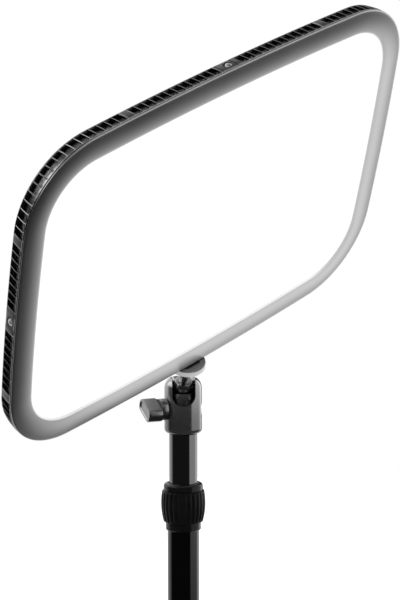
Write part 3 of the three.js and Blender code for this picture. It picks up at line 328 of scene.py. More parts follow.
def bezel_paint():
    """Satin dark metal that catches the spill of the lit face beside it: narrow and dim along
    the top and the left side, wide and bright along the foot and the right side."""
    made, s = material("bezel_satin")
    across = s.attribute("across")
    middle = PANEL.origin * MM
    sideways = s.axis(RIGHT, middle) / HALF_WIDTH
    upwards = s.axis(UP, middle) / HALF_HEIGHT
    lower_right = (sideways - upwards).rise(-0.22, 0.5)
    drift = s.noise(0.03, 3.0, 0.5)
    fine = s.noise(2.4, 2.0, 0.5)
    narrow = across.rise(0.08, 1.1) ** 1.2 * 0.22
    wide = across.rise(-0.15, 1.0) * 0.5
    spill = narrow + (wide - narrow) * lower_right + 0.003
    s.finish(
        Base_Color=s.mix(drift, 0.47, 0.53),
        Metallic=1.0,
        Roughness=drift * 0.06 + fine * 0.03 + 0.26,
        Emission_Color=s.mix(spill, 0.0, 1.0),
        Emission_Strength=1.0,
        Normal=s.bump(fine, 0.006, 0.3),
    )
    return made


def opal():
    """The lit face: opal sheet, a trace dimmer towards its edges, with a faint mottle."""
    made, s = material("opal_face")
    middle = PANEL.origin * MM
    sideways = s.axis(RIGHT, middle) / HALF_WIDTH
    upwards = s.axis(UP, middle) / HALF_HEIGHT
    edge = (sideways * sideways) ** 3 + (upwards * upwards) ** 3
    mottle = s.noise(0.35, 2.0, 0.5)
    s.finish(
        Base_Color=0.2,
        Roughness=0.6,
        Emission_Color=s.mix(edge.rise(0.0, 1.4) + mottle * 0.12, 1.0, 0.93),
        Emission_Strength=0.88,
        Normal=s.bump(mottle, 0.01, 0.1),
    )
    return made


def clear_acrylic():
    made, s = material("clear_acrylic")
    dots = s.cells(0.5)
    s.finish(
        Base_Color=s.mix(dots.rise(0.2, 0.5), (0.92, 0.96, 0.97), 0.8),
        Roughness=dots * 0.1 + 0.05,
    )
    return made


def circuit():
    """Solder mask over a grid of tracks and pads."""
    made, s = material("circuit_board")
    pads = s.cells(0.6)
    tracks = s.noise(0.9, 1.0, 0.4)
    s.finish(
        Base_Color=s.mix(pads.rise(0.25, 0.3), 0.6, (0.02, 0.14, 0.06)),
        Roughness=tracks * 0.2 + 0.35,
        Normal=s.bump(tracks, 0.03, 0.5),
    )
    return made


BEZEL_SATIN = bezel_paint()
RIM_METAL = rim_paint()
CHASSIS_METAL = metal("bare_aluminium", 0.6, 0.72, 0.28, 0.06, 0.9)
REAR_PAINT = plastic("powder_coat", 0.022, 0.034, 0.5, 1.8, 0.05)
GLOSS_TUBE = gloss_black("black_chrome", 0.19, 0.1, 2)
LOWER_TUBE = gloss_black("lower_chrome", 0.06, 0.12, 2)
HEAD_BLACK = head_paint()
NECK_METAL = metal("neck_satin", 0.4, 0.48, 0.2, 0.06, 2.0)
DISC_METAL = disc_paint()
KNOB_METAL = metal("knob_satin", 0.28, 0.36, 0.34, 0.1, 1.6)
STEEL = metal("bright_steel", 0.62, 0.74, 0.24, 0.08, 2.4)
BRASS = metal("turned_brass", (0.62, 0.42, 0.16), (0.72, 0.52, 0.22), 0.28, 0.08, 2.0)
GRIP_PLASTIC = plastic("grip_plastic", 0.003, 0.007, 0.36, 1.6, 0.03, 0.12)
GLOSS_PLASTIC = plastic("gloss_plastic", 0.004, 0.008, 0.16, 1.2, 0.004, 0.25)
BLACK_PLASTIC = plastic("black_plastic", 0.012, 0.02, 0.35, 1.8, 0.03)
DARK_PLASTIC = plastic("dark_plastic", 0.03, 0.05, 0.4, 1.8, 0.03)
CLAMP_PAINT = plastic("clamp_enamel", 0.014, 0.024, 0.3, 0.9, 0.04)
RUBBER = plastic("ribbed_rubber", 0.01, 0.02, 0.8, 2.5, 0.08)
WHITE_SHEET = plastic("white_sheet", 0.8, 0.86, 0.5, 1.0, 0.01)
OPAL = opal()
ACRYLIC = clear_acrylic()
CIRCUIT = circuit()


# ------------------------------------------------------------------ surfaces to pieces
def grid_faces(count_u, count_v, wrap_u=True, wrap_v=False):
    """Quads that join each point of a grid to the next along both parameters."""
    u = np.arange(count_u if wrap_u else count_u - 1)
    v = np.arange(count_v if wrap_v else count_v - 1)
    u, v = np.meshgrid(u, v, indexing="ij")
    next_u = (u + 1) % count_u
    next_v = (v + 1) % count_v
    quads = [u * count_v + v, next_u * count_v + v, next_u * count_v + next_v, u * count_v + next_v]
    return np.stack(quads, -1).reshape(-1, 4)


def piece(name, place, points, faces, look, body, nodes=(), sharp=35, across=None):
    """A closed mesh piece from points in a place's millimetres, merged and facing outwards.
    It rides on a body and stands for the CAD nodes named."""
    mesh = bpy.data.meshes.new(name)
    mesh.from_pydata(place.out(np.reshape(points, (-1, 3))).tolist(), [], faces.tolist())
    if across is not None:
        layer = mesh.attributes.new("across", "FLOAT", "POINT")
        layer.data.foreach_set("value", np.asarray(across, np.float32).ravel())
    shape = bmesh.new()
    shape.from_mesh(mesh)
    bmesh.ops.remove_doubles(shape, verts=shape.verts, dist=2e-7)
    bmesh.ops.dissolve_degenerate(shape, edges=shape.edges, dist=1e-8)
    bmesh.ops.recalc_face_normals(shape, faces=shape.faces)
    if shape.calc_volume(signed=True) < 0:
        bmesh.ops.reverse_faces(shape, faces=shape.faces)
    shape.to_mesh(mesh)
    shape.free()
    mesh.shade_smooth()
    mesh.set_sharp_from_angle(angle=math.radians(sharp))
    mesh.materials.append(look)
    made = bpy.data.objects.new(name, mesh)
    bpy.context.scene.collection.objects.link(made)
    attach(made, body)
    if nodes:
        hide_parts(*nodes)
    return made


def smooth_line(points, steps):
    """A Catmull-Rom curve through points, each span cut into equal steps."""
    points = np.array(points, float)
    padded = np.vstack([2 * points[0] - points[1], points, 2 * points[-1] - points[-2]])
    t = np.linspace(0, 1, steps, endpoint=False)[:, None]
    spans = []
    for i in range(len(points) - 1):
        a, b, c, d = padded[i:i + 4]
        spans.append(0.5 * (2 * b + (c - a) * t + (2 * a - 5 * b + 4 * c - d) * t ** 2
                            + (3 * b - a - 3 * c + d) * t ** 3))
    return np.vstack(spans + [points[-1:]])


def arc_line(centre, radius, start, end, steps):
    """Points on an arc, its angles in degrees from the first axis."""
    angle = np.radians(np.linspace(start, end, steps + 1))
    return np.stack([centre[0] + radius * np.cos(angle), centre[1] + radius * np.sin(angle)], -1)


def turned(profile, sides=96, closed=False, radius_at=None):
    """A (radius, height) profile carried round an axis. Point (u, v) is the profile's point v
    at the angle u. radius_at may change the radius with the angle."""
    profile = np.array(profile, float)
    angle = np.linspace(0, 2 * math.pi, sides, endpoint=False)[:, None]
    radius = np.broadcast_to(profile[:, 0], (sides, len(profile)))
    if radius_at:
        radius = radius_at(angle, profile[:, 0], profile[:, 1])
    height = np.broadcast_to(profile[:, 1], radius.shape)
    points = np.stack([radius * np.cos(angle), radius * np.sin(angle), height], -1)
    return points, grid_faces(sides, len(profile), True, closed)


# ------------------------------------------------------------------ the panel's outline
CORNER = 57.5
TOP_BOW = 2480.0
SIDE_BOW = 1810.0


def quarter(half_width, half_height, corner, top_bow, side_bow):
    """Three tangent arcs from the top's middle to the right side's middle, each as centre,
    radius, first and last angle: a long bowed side, a corner and another bowed side."""
    top = np.array([0, half_height - top_bow])
    side = np.array([half_width - side_bow, 0])
    span = np.linalg.norm(side - top)
    to_top, to_side = top_bow - corner, side_bow - corner
    along = (to_top ** 2 - to_side ** 2 + span ** 2) / (2 * span)
    direction = (side - top) / span
    sideways = np.array([direction[1], -direction[0]])
    centre = top + direction * along + sideways * math.sqrt(to_top ** 2 - along ** 2)
    top_end = math.atan2(*(centre - top)[::-1])
    side_end = math.atan2(*(centre - side)[::-1])
    return [
        (top, top_bow, math.pi / 2, top_end),
        (centre, corner, top_end, side_end),
        (side, side_bow, side_end, 0.0),
    ]


def along_quarter(arcs, distance):
    """Points and outward normals at distances along the quarter outline."""
    lengths = np.array([abs(last - first) * radius for _, radius, first, last in arcs])
    starts = np.concatenate([[0], np.cumsum(lengths)])
    which = np.clip(np.searchsorted(starts, distance, side="right") - 1, 0, 2)
    centre = np.array([arc[0] for arc in arcs])[which]
    radius = np.array([arc[1] for arc in arcs])[which]
    first = np.array([arc[2] for arc in arcs])[which]
    last = np.array([arc[3] for arc in arcs])[which]
    angle = first + (last - first) * (distance - starts[which]) / lengths[which]
    normal = np.stack([np.cos(angle), np.sin(angle)], -1)
    return centre + radius[:, None] * normal, normal


def whole_outline(arcs, distance):
    """The quarter's distances repeated round all four quarters, as points and normals.
    distance starts at 0 and ends at the quarter's whole length."""
    points, normals = along_quarter(arcs, distance)
    rounds = []
    for array in (points, normals):
        flip = [array * (x, z) for x, z in ((1, 1), (1, -1), (-1, -1), (-1, 1))]
        rounds.append(np.vstack([flip[0][:-1], flip[1][::-1][:-1], flip[2][:-1], flip[3][::-1][:-1]]))
    return rounds


PANEL_ARCS = quarter(HALF_WIDTH, HALF_HEIGHT, CORNER, TOP_BOW, SIDE_BOW)
QUARTER_LENGTH = sum(abs(last - first) * radius for _, radius, first, last in PANEL_ARCS)


def swept(profile, distance, closed=True):
    """An (inset, depth) profile carried round the panel's outline. Point (u, v) lies inset
    from the outline along its normal at u, and depth behind the front plane."""
    profile = np.array(profile, float)
    base, normal = whole_outline(PANEL_ARCS, distance)
    flat = base[:, None, :] - normal[:, None, :] * profile[None, :, :1]
    depth = np.broadcast_to(profile[:, 1], flat.shape[:2])
    points = np.stack([flat[..., 0], depth, flat[..., 1]], -1)
    return points, grid_faces(len(base), len(profile), True, closed)


# ------------------------------------------------------------------ bezel
BEZEL_WIDTH = 17.4
BEZEL_BACK = 1.7
outline_steps = np.linspace(0, QUARTER_LENGTH, 121)
bezel_front = smooth_line([
    (0.0, 1.1), (0.15, 0.72), (0.6, 0.5), (1.6, 0.3), (4.5, 0.0), (9.0, -0.36),
    (12.5, -0.5), (15.2, -0.42), (16.6, -0.1), (17.25, 0.6), (BEZEL_WIDTH, 1.35),
], 4)
bezel_foot, bezel_lip = [(0.3, BEZEL_BACK), (0.0, 1.4)], [(BEZEL_WIDTH - 0.1, BEZEL_BACK)]
bezel_profile = np.vstack([bezel_foot, bezel_front, bezel_lip])
points, faces = swept(bezel_profile, outline_steps)
share = np.broadcast_to(bezel_profile[:, 0] / BEZEL_WIDTH, points.shape[:2])
piece("bezel", PANEL, points, faces, BEZEL_SATIN, "panel", ["front_bezel"], 40, share)

# ------------------------------------------------------------------ vented rim
RIM_FRONT = 2.0
RIM_BACK = PANEL.extent("vent_rim")[1][1]
RIM_TAPER = 2.0
RIM_WALL = 1.6
RAIL = 0.8
VENT_PITCH = 6.26
RIB_HALF = 0.38
vents = round(QUARTER_LENGTH / VENT_PITCH)
pitch = QUARTER_LENGTH / vents
top_web = round(HALF_WIDTH / 2 / QUARTER_LENGTH * vents)
side_web = vents - round(HALF_HEIGHT / 2 / QUARTER_LENGTH * vents)
HOLE_HALF = 2.7
BLOCK_FROM, BLOCK_TO = 4.9, 8.6
WEB_EDGE = 0.35


def rim_columns():
    """Distances along a quarter at which the rim has a column of points, and whether the strip
    after each is open. Both ends of a quarter have the same columns, round a screw's boss."""
    boss = [0.0, HOLE_HALF, 4.4, BLOCK_FROM, BLOCK_FROM + 0.3, BLOCK_TO - 0.3, BLOCK_TO]
    stations = list(boss)
    opened = [False] * len(boss)
    for k in range(2, vents - 1):
        first = pitch * (k - 0.5) + RIB_HALF
        last = pitch * (k + 0.5) - RIB_HALF
        if k in (top_web, side_web):
            stations += [first, first + WEB_EDGE, last - WEB_EDGE, last]
            opened += [False] * 4
            continue
        stations += [pitch * (k - 0.5), first, (first + last) / 2, last]
        opened += [False, True, True, False]
    stations += [QUARTER_LENGTH - step for step in reversed(boss)]
    opened += [False] * len(boss)
    return np.array(stations), np.array(opened)


def vented_rim():
    """A wall carried round the outline: its outer face draws in towards the back by a power of
    the depth, and strips of it between two rails are left open. Where an open cell meets a
    closed one, a wall joins the outer face to the inner one. The third result is a painted
    highlight: 1 at points on the rails and ribs, where their edges catch the light, and 0 on
    the closed webs and the inner face."""
    stations, opened = rim_columns()
    order = np.argsort(stations, kind="stable")
    stations, opened = stations[order], opened[order]
    base, normal = whole_outline(PANEL_ARCS, stations)
    strips = np.concatenate([opened[:-1], opened[:-1][::-1], opened[:-1], opened[:-1][::-1]])
    slot_front, slot_back = RIM_FRONT + RAIL, RIM_BACK - RAIL
    middle = (slot_front + slot_back) / 2
    depth = np.array([
        RIM_FRONT, RIM_FRONT + 0.25, slot_front - 0.25, slot_front, slot_front + 0.3,
        middle - HOLE_HALF, middle - HOLE_HALF / 2, middle, middle + HOLE_HALF / 2, middle + HOLE_HALF,
        slot_back - 0.3, slot_back, slot_back + 0.25, RIM_BACK - 0.25, RIM_BACK,
    ])
    share = (depth - RIM_FRONT) / (RIM_BACK - RIM_FRONT)
    inset = RIM_TAPER * share ** 1.8
    inset[[0, -1]] += 0.22
    reach = np.concatenate([stations[:-1], stations[::-1][:-1], stations[:-1], stations[::-1][:-1]])
    near = np.minimum(reach, QUARTER_LENGTH - reach)
    block = (near > BLOCK_FROM + 0.1) & (near < BLOCK_TO - 0.1)
    rows = (depth > slot_front + 0.2) & (depth < slot_back - 0.2)
    raised = np.where(block[:, None] & rows[None, :], 0.45, 0.0)
    edge = np.roll(strips, 1) != strips
    crowned = np.where(edge[:, None] & rows[None, :], 0.22, 0.0)
    rail_crown = np.zeros_like(depth)
    rail_crown[[2, 3, 11, 12]] = (0.0, 0.2, 0.2, 0.0)
    rails = np.where(strips[:, None] | edge[:, None], rail_crown, 0.0)
    outer_inset = inset[None, :] - raised + crowned + rails
    inner_inset = np.broadcast_to(inset + RIM_WALL, outer_inset.shape).copy()
    inner_inset[:, [0, -1]] -= 0.44
    count_u, count_v = len(base), len(depth)

    def shell(inward):
        flat = base[:, None, :] - normal[:, None, :] * inward[..., None]
        return np.stack([flat[..., 0], np.broadcast_to(depth, inward.shape), flat[..., 1]], -1)

    points = np.concatenate([shell(outer_inset).reshape(-1, 3), shell(inner_inset).reshape(-1, 3)])
    top_side = np.abs(base[:, 1]) > np.abs(base[:, 0]) * HALF_HEIGHT / HALF_WIDTH
    in_hole = (np.minimum(near, np.roll(near, -1)) < 0.1) & ~(top_side & (base[:, 1] < 0))
    in_slot = (depth[:-1] >= slot_front - 0.01) & (depth[1:] <= slot_back + 0.01)
    cells = strips[:, None] & in_slot[None, :]
    near_middle = (depth[:-1] >= middle - HOLE_HALF - 0.01) & (depth[1:] <= middle + HOLE_HALF + 0.01)
    round_hole = in_hole[:, None] & near_middle[None, :]
    solid = ~(cells | round_hole)
    index = np.arange(count_u * count_v).reshape(count_u, count_v)
    here, after = index, np.roll(index, -1, 0)
    under = count_u * count_v
    outer = np.stack([here[:, :-1], after[:, :-1], after[:, 1:], here[:, 1:]], -1)
    faces = [outer[solid], (outer[solid] + under)[:, ::-1]]
    before = np.roll(solid, 1, 0)
    for side in (solid & ~before, before & ~solid):
        a, b = here[:, :-1][side], here[:, 1:][side]
        faces.append(np.stack([a, b, b + under, a + under], -1))
    closed_rows = np.pad(solid, ((0, 0), (1, 1)))
    for v in range(count_v):
        changed = closed_rows[:, v] != closed_rows[:, v + 1]
        a, b = here[changed, v], after[changed, v]
        faces.append(np.stack([a, b, b + under, a + under], -1))
    web = near < pitch * 1.5 - RIB_HALF
    for k in (top_web, side_web):
        web |= np.abs(reach - pitch * k) < pitch / 2 - RIB_HALF - WEB_EDGE / 2
    # Painted highlight: 1 on the rails and ribs, 0 on the closed webs and the inner face.
    edge_highlight = np.where(web[:, None] & rows[None, :], 0.0, 1.0)
    return points, np.concatenate(faces), np.concatenate([edge_highlight.ravel(), edge_highlight.ravel() * 0])


points, faces, edge_highlight = vented_rim()
piece("vented_rim", PANEL, points, faces, RIM_METAL, "panel", ["vent_rim"], 30, edge_highlight)

# The tray behind the vents: a thin wall round the light engine and its turned-in floor.
CHASSIS_INSET = 5.8
TRAY_BACK = RIM_BACK - 1.3
tray_profile = [
    (CHASSIS_INSET, RIM_FRONT), (CHASSIS_INSET, TRAY_BACK - 0.8),
    (CHASSIS_INSET + 0.25, TRAY_BACK - 0.25),
    (CHASSIS_INSET + 0.8, TRAY_BACK), (40, TRAY_BACK), (40, TRAY_BACK - 1.2),
    (CHASSIS_INSET + 1.3, TRAY_BACK - 1.2), (CHASSIS_INSET + 1.3, RIM_FRONT),
]
points, faces = swept(tray_profile, outline_steps[::2])
piece("chassis_tray", PANEL, points, faces, CHASSIS_METAL, "panel", ["chassis"])


# ------------------------------------------------------------------ edge screws
def socket_screw(radius, key_radius, length):
    """A turned screw head whose key socket is a hexagon: inside the socket the radius is the
    hexagon's at that angle."""
    profile = np.vstack([
        [(0, -length), (radius * 0.55, -length), (radius * 0.55, -1.9), (radius, -1.9)],
        arc_line((radius - 0.5, -0.5), 0.5, 0, 90, 4),
        [(key_radius * 1.05, 0.0), (key_radius, -0.12), (key_radius, -1.3), (0, -1.6)],
    ])
    inside = np.arange(len(profile)) >= len(profile) - 3

    def hexagon(angle, radii, heights):
        sixth = math.pi / 3
        share = math.cos(sixth / 2) / np.cos((angle + sixth / 2) % sixth - sixth / 2)
        return np.where(inside, radii * share * 1.1, radii)

    return turned(profile, 48, False, hexagon)


def screw_cup(inner, flange, depth):
    """The countersunk cup round a screw: a thin flange proud of the rim, and a closed well."""
    return [
        (0, -depth), (inner, -depth), (inner, -0.15), (inner + 0.25, 0.22), (flange - 0.3, 0.22),
        (flange, 0.0), (flange - 0.1, -0.35), (inner + 0.45, -0.45),
        (inner + 0.45, -depth - 0.5), (0, -depth - 0.5),
    ]


SCREW_SUNK, CUP_SUNK = 0.3, 0.75
EDGE_SIDES = {"right": (RIGHT, HALF_WIDTH), "top": (UP, HALF_HEIGHT), "left": (-RIGHT, HALF_WIDTH)}
for side, (outward, reach) in EDGE_SIDES.items():
    node = f"edge_screw_{side}"
    low, high = PANEL.extent(node)
    middle = PANEL.origin + BACK * (low[1] + high[1]) / 2
    axes = (np.cross(BACK, outward), BACK, outward)
    place = Place(middle + outward * (reach - SCREW_SUNK), *axes)
    points, faces = socket_screw(2.6, 1.25, 8.5)
    piece(f"edge_screw_head_{side}", place, points, faces, STEEL, "panel", [node])
    cup = Place(middle + outward * (reach - CUP_SUNK), *axes)
    points, faces = turned(screw_cup(2.95, 4.1, 2.4), 48)
    piece(f"edge_screw_cup_{side}", cup, points, faces, RIM_METAL, "panel")

# ------------------------------------------------------------------ rear cover
HOUSING_WIDTH, HOUSING_HEIGHT, HOUSING_CORNER = 110.0, 72.0, 30.0
cover_low, cover_high = PANEL.extent("rear_cover")
COVER_FRONT, COVER_BACK = cover_low[1], cover_high[1]
SLOPE_HEIGHT = 17


def rear_cover():
    """Loops of two outlines with the same steps on each arc, lofted: the panel's outline drawn
    in, a smooth slope up to the raised housing, and rings that close on its flat back."""
    steps = (26, 26, 26)
    shares = [np.linspace(0, 1, count, endpoint=False) for count in steps]

    def loop(arcs, inset):
        stations, start = [], 0.0
        for share, (_, radius, first, last) in zip(shares, arcs):
            length = abs(last - first) * radius
            stations.append(start + share * length)
            start += length
        base, normal = whole_outline(arcs, np.concatenate(stations + [[start]]))
        return base - normal * inset

    housing = quarter(HOUSING_WIDTH, HOUSING_HEIGHT, HOUSING_CORNER, TOP_BOW, SIDE_BOW)
    edge = [(5.2, 0.9), (5.0, 0.0), (3.4, 0.0), (3.5, 0.5), (4.1, 1.2), (5.0, 1.6)]
    rows = [(PANEL_ARCS, inset, COVER_FRONT + height) for inset, height in edge]
    rows.append((housing, -4, COVER_FRONT + 4.2))
    slope = smooth_line([
        (-4, 4.2), (-1.2, 4.7), (1.2, 6.6), (4.6, 14.0), (6.3, 15.9), (8.4, 16.9), (11, SLOPE_HEIGHT),
    ], 3)
    rise = COVER_BACK - COVER_FRONT - SLOPE_HEIGHT
    rows += [(housing, inset, COVER_FRONT + height + rise * height / SLOPE_HEIGHT)
             for inset, height in slope[1:]]
    loops = [(loop(arcs, inset), depth) for arcs, inset, depth in rows]
    last = loops[-1][0]
    loops += [(last * share, COVER_BACK) for share in (0.66, 0.33, 0.0)]
    inside = loops[0][0]
    loops = [(inside * 0.0, COVER_FRONT + 3.0), (inside * 0.6, COVER_FRONT + 3.0)] + loops
    points = np.stack([np.insert(ring, 1, depth, 1) for ring, depth in loops], 1)
    return points, grid_faces(points.shape[0], points.shape[1], True, False)


points, faces = rear_cover()
piece("rear_shell", PANEL, points, faces, REAR_PAINT, "panel", ["rear_cover"], 40)


# ------------------------------------------------------------------ pole
def tube(name, node, look, body, chamfer=0.4):
    """A drawn tube: a ring profile with chamfered ends, carried round the pole."""
    low, high = corners(node)
    outer = (high[0] - low[0]) / 2
    inner = outer - 1.0
    bottom, top = low[2], high[2]
    profile = [
        (inner, bottom), (outer - chamfer, bottom), (outer, bottom + chamfer), (outer, top - chamfer),
        (outer - chamfer, top), (inner, top),
    ]
    points, faces = turned(profile, 128, True)
    return piece(name, POLE, points, faces, look, body, [node])


tube("pole_upper", "upper_tube", GLOSS_TUBE, "upper_pole")
tube("pole_lower", "lower_tube", LOWER_TUBE, "stand")

FLUTES = 26
FLUTE_DEPTH = 0.55
GRIP_WIDEST_AT = 0.6
GRIP_FOOT_TAPER, GRIP_TOP_TAPER = 1.75, 0.75


def fluted_grip():
    """A barrel whose outside has rounded flutes: the radius falls by the flute's depth times
    a raised cosine of the angle, fading out towards both ends."""
    low, high = corners("collar_grip")
    bottom, top = low[2], high[2]
    widest = (high[0] - low[0]) / 2
    height = top - bottom
    share = np.linspace(0, 1, 25)
    off = share - GRIP_WIDEST_AT
    below = GRIP_FOOT_TAPER * (off / GRIP_WIDEST_AT) ** 2
    above = GRIP_TOP_TAPER * (off / (1 - GRIP_WIDEST_AT)) ** 2
    swell = widest - np.where(off < 0, below, above)
    outside = np.stack([swell, bottom + 0.3 + share * (height - 0.6)], -1)
    bore = 11.6
    foot, head = [(bore, bottom), (swell[0] - 0.4, bottom)], [(swell[-1] - 0.4, top), (bore, top)]
    profile = np.vstack([foot, outside, head])
    fade = np.zeros(len(profile))
    fade[2:-2] = np.clip(np.minimum(share, 1 - share) / 0.08, 0, 1)

    def flute(angle, radii, heights):
        return radii - FLUTE_DEPTH * fade * (0.5 - 0.5 * np.cos(FLUTES * angle)) ** 1.5

    return turned(profile, FLUTES * 12, True, flute)


points, faces = fluted_grip()
piece("collar_barrel", POLE, points, faces, GRIP_PLASTIC, "collar", ["collar_grip"], 50)


def lathe_node(name, node, look, body, outline, bore, sides=96, sharp=35):
    """A ring turned from the outline, which gives (radius, height) from the CAD node's largest
    radius and from its bottom and top."""
    low, high = corners(node)
    profile = outline((high[0] - low[0]) / 2, low[2], high[2], bore)
    points, faces = turned(profile, sides, True)
    return piece(name, POLE, points, faces, look, body, [node], sharp)


def cap_outline(radius, bottom, top, bore):
    """A domed cap with a groove at its foot."""
    shoulder = radius - 2.0
    return np.vstack([
        [(bore, bottom), (radius - 0.5, bottom), (radius, bottom + 0.35), (radius, bottom + 0.9)],
        arc_line((shoulder, top - 2.9), 2.0, 8, 72, 6) + [(0, 0.9)],
        [(shoulder - 0.4, top), (bore + 0.3, top), (bore, top - 0.3)],
    ])


def ring_outline(radius, bottom, top, bore):
    return [
        (bore, bottom), (radius - 0.4, bottom), (radius, bottom + 0.4),
        (radius, top - 0.5), (radius - 0.4, top), (bore, top),
    ]


lathe_node("collar_cap_ring", "collar_cap", GLOSS_PLASTIC, "collar", cap_outline, 10.3)
lathe_node("collar_foot_ring", "collar_ring", GLOSS_PLASTIC, "stand", ring_outline, 11.3)

# ------------------------------------------------------------------ ball head
HEAD_RADIUS = 13.35
HEAD_FOOT = -34.0
FOOT_ROUNDING = 3.0
FOOT_FLAT = 8.4
DOME = 8.9
DOME_TOP = 6.9
NOTCH = 8.3
NOTCH_CENTRE = -5.6
CAVITY = 7.5
LIP_HEIGHT = 2.9
MOUTH_RADIUS = 9.17
MOUTH_TOP = 5.55
CAVITY_FLOOR = -20.6
nut_low, nut_high = HEAD.extent("side_nut")
NUT_MIDDLE = (nut_low + nut_high) / 2
NUT_HOLLOW = 4.2
NUT_DEPTH = 1.7


def head_outside(height):
    """The housing's outer radius at a height: a cylinder with a rounded dome above it."""
    over = np.clip(height - (DOME_TOP - DOME), 0, DOME)
    return HEAD_RADIUS - DOME + np.sqrt(DOME ** 2 - over ** 2)


def head_inside(height):
    """The cavity's radius at a height: a bore, a sphere that closes in over the ball up to the
    lip, and a cone that widens from the lip to the mouth."""
    lip = math.sqrt(CAVITY ** 2 - LIP_HEIGHT ** 2)
    sphere = np.sqrt(CAVITY ** 2 - np.clip(height, 0, LIP_HEIGHT) ** 2)
    widened = np.clip((height - LIP_HEIGHT) / (MOUTH_TOP - LIP_HEIGHT), 0, 1)
    return sphere + (MOUTH_RADIUS - lip) * widened


def head_housing():
    """For each angle round the head, a loop from the foot up the outside to the cut's edge and
    down the inside. The U-shaped cut is half a circle below its centre and straight above: its
    half width over the sine of the angle gives the least radius left standing. Round the side
    nut the outside falls smoothly to the hollow's depth."""
    notch_angle = math.asin(NOTCH / HEAD_RADIUS)
    t = np.linspace(0, math.pi / 2, 18)
    in_notch = np.arcsin(NOTCH / HEAD_RADIUS * np.sin(t))
    beside = notch_angle + 1e-4 + (math.pi / 2 - notch_angle) * np.linspace(0, 1, 20) ** 1.6
    behind = np.linspace(math.pi / 2, math.pi, 60)[1:]
    half = np.concatenate([in_notch, beside, behind])
    angle = np.concatenate([half, -half[1:-1][::-1]])
    sine = np.maximum(np.abs(np.sin(angle)), 1e-6)
    front = np.abs(angle) < math.pi / 2 + 1e-9
    cut = np.abs(angle) <= notch_angle + 5e-5
    across = np.minimum(HEAD_RADIUS * sine, NOTCH)
    cut_top = NOTCH_CENTRE - np.sqrt(np.maximum(NOTCH ** 2 - across ** 2, 0))
    least = np.where(front, np.maximum(MOUTH_RADIUS, NOTCH / sine), MOUTH_RADIUS)
    least = np.minimum(least, HEAD_RADIUS)
    dome_top = DOME_TOP - DOME + np.sqrt(np.maximum(DOME ** 2 - (least - HEAD_RADIUS + DOME) ** 2, 0))
    top = np.where(cut, cut_top, dome_top)[:, None]
    foot = HEAD_FOOT + FOOT_ROUNDING
    up = 1 - (1 - np.linspace(0, 1, 64)) ** 1.3
    outer_height = foot + (top - foot) * up
    outer_radius = head_outside(outer_height)
    nut_turn = math.atan2(NUT_MIDDLE[0], -NUT_MIDDLE[1])
    round_way = (angle[:, None] - nut_turn + math.pi) % (2 * math.pi) - math.pi
    from_nut = np.hypot(HEAD_RADIUS * round_way, outer_height - NUT_MIDDLE[2])
    hollow = np.clip((NUT_HOLLOW + 0.35 - from_nut) / 0.7, 0, 1)
    outer_radius = outer_radius - NUT_DEPTH * hollow * hollow * (3 - 2 * hollow)
    down = np.linspace(0, 1, 22)[1:] ** 1.4
    inner_height = top + (CAVITY_FLOOR - top) * down
    below = np.clip(NOTCH_CENTRE - inner_height, 0, NOTCH)
    half_width = np.where(below < NOTCH, np.sqrt(NOTCH ** 2 - below ** 2), 0.0)
    cut_radius = np.where(front[:, None], half_width / sine[:, None], 0.0)
    inner_radius = np.maximum(head_inside(inner_height), cut_radius)
    inner_radius = np.minimum(inner_radius, head_outside(inner_height))
    rounding = arc_line((HEAD_RADIUS - FOOT_ROUNDING, foot), FOOT_ROUNDING, -90, 0, 6)[:-1]
    ends = np.ones((len(angle), 1))
    radius = np.hstack([
        ends * 0, ends * FOOT_FLAT, ends * rounding[:, 0], outer_radius, inner_radius, ends * 0,
    ])
    height = np.hstack([
        ends * HEAD_FOOT, ends * HEAD_FOOT, ends * rounding[:, 1], outer_height, inner_height,
        ends * CAVITY_FLOOR,
    ])
    points = np.stack([radius * np.sin(angle)[:, None], -radius * np.cos(angle)[:, None], height], -1)
    return points, grid_faces(len(angle), points.shape[1], True, False)


points, faces = head_housing()
piece("head_body", HEAD, points, faces, HEAD_BLACK, "head", ["head_housing"], 32)

BALL_RADIUS = 7.2
FLAT_RADIUS = 5.8
disc_low, disc_high = STEM.extent("lock_disc")
DISC_BOTTOM, DISC_TOP = disc_low[2], disc_high[2]
STUD_TOP = STEM.extent("ball_stud")[1][2]


def ball_profile():
    """A sphere cut flat on top, a slim neck that flares out like a trumpet, and the stud."""
    flat = math.degrees(math.acos(FLAT_RADIUS / BALL_RADIUS))
    flat_height = BALL_RADIUS * math.sin(math.radians(flat))
    flare = smooth_line([
        (2.85, flat_height + 0.3), (2.9, 7.4), (3.3, 9.4), (4.3, 11.6), (5.4, 13.6), (6.1, 15.4),
        (6.2, 17.0),
    ], 4)
    return np.vstack([
        arc_line((0, 0), BALL_RADIUS, -90, flat, 28),
        [(FLAT_RADIUS - 0.35, flat_height + 0.12), (3.6, flat_height + 0.02), (3.05, flat_height + 0.12)],
        flare,
        [(6.2, DISC_BOTTOM - 0.3), (3.1, DISC_BOTTOM - 0.3), (3.1, STUD_TOP - 0.5)],
        [(2.6, STUD_TOP), (0, STUD_TOP)],
    ])


points, faces = turned(ball_profile(), 96)
piece("ball_and_neck", STEM, points, faces, NECK_METAL, "ball", ["ball_stud"], 40)

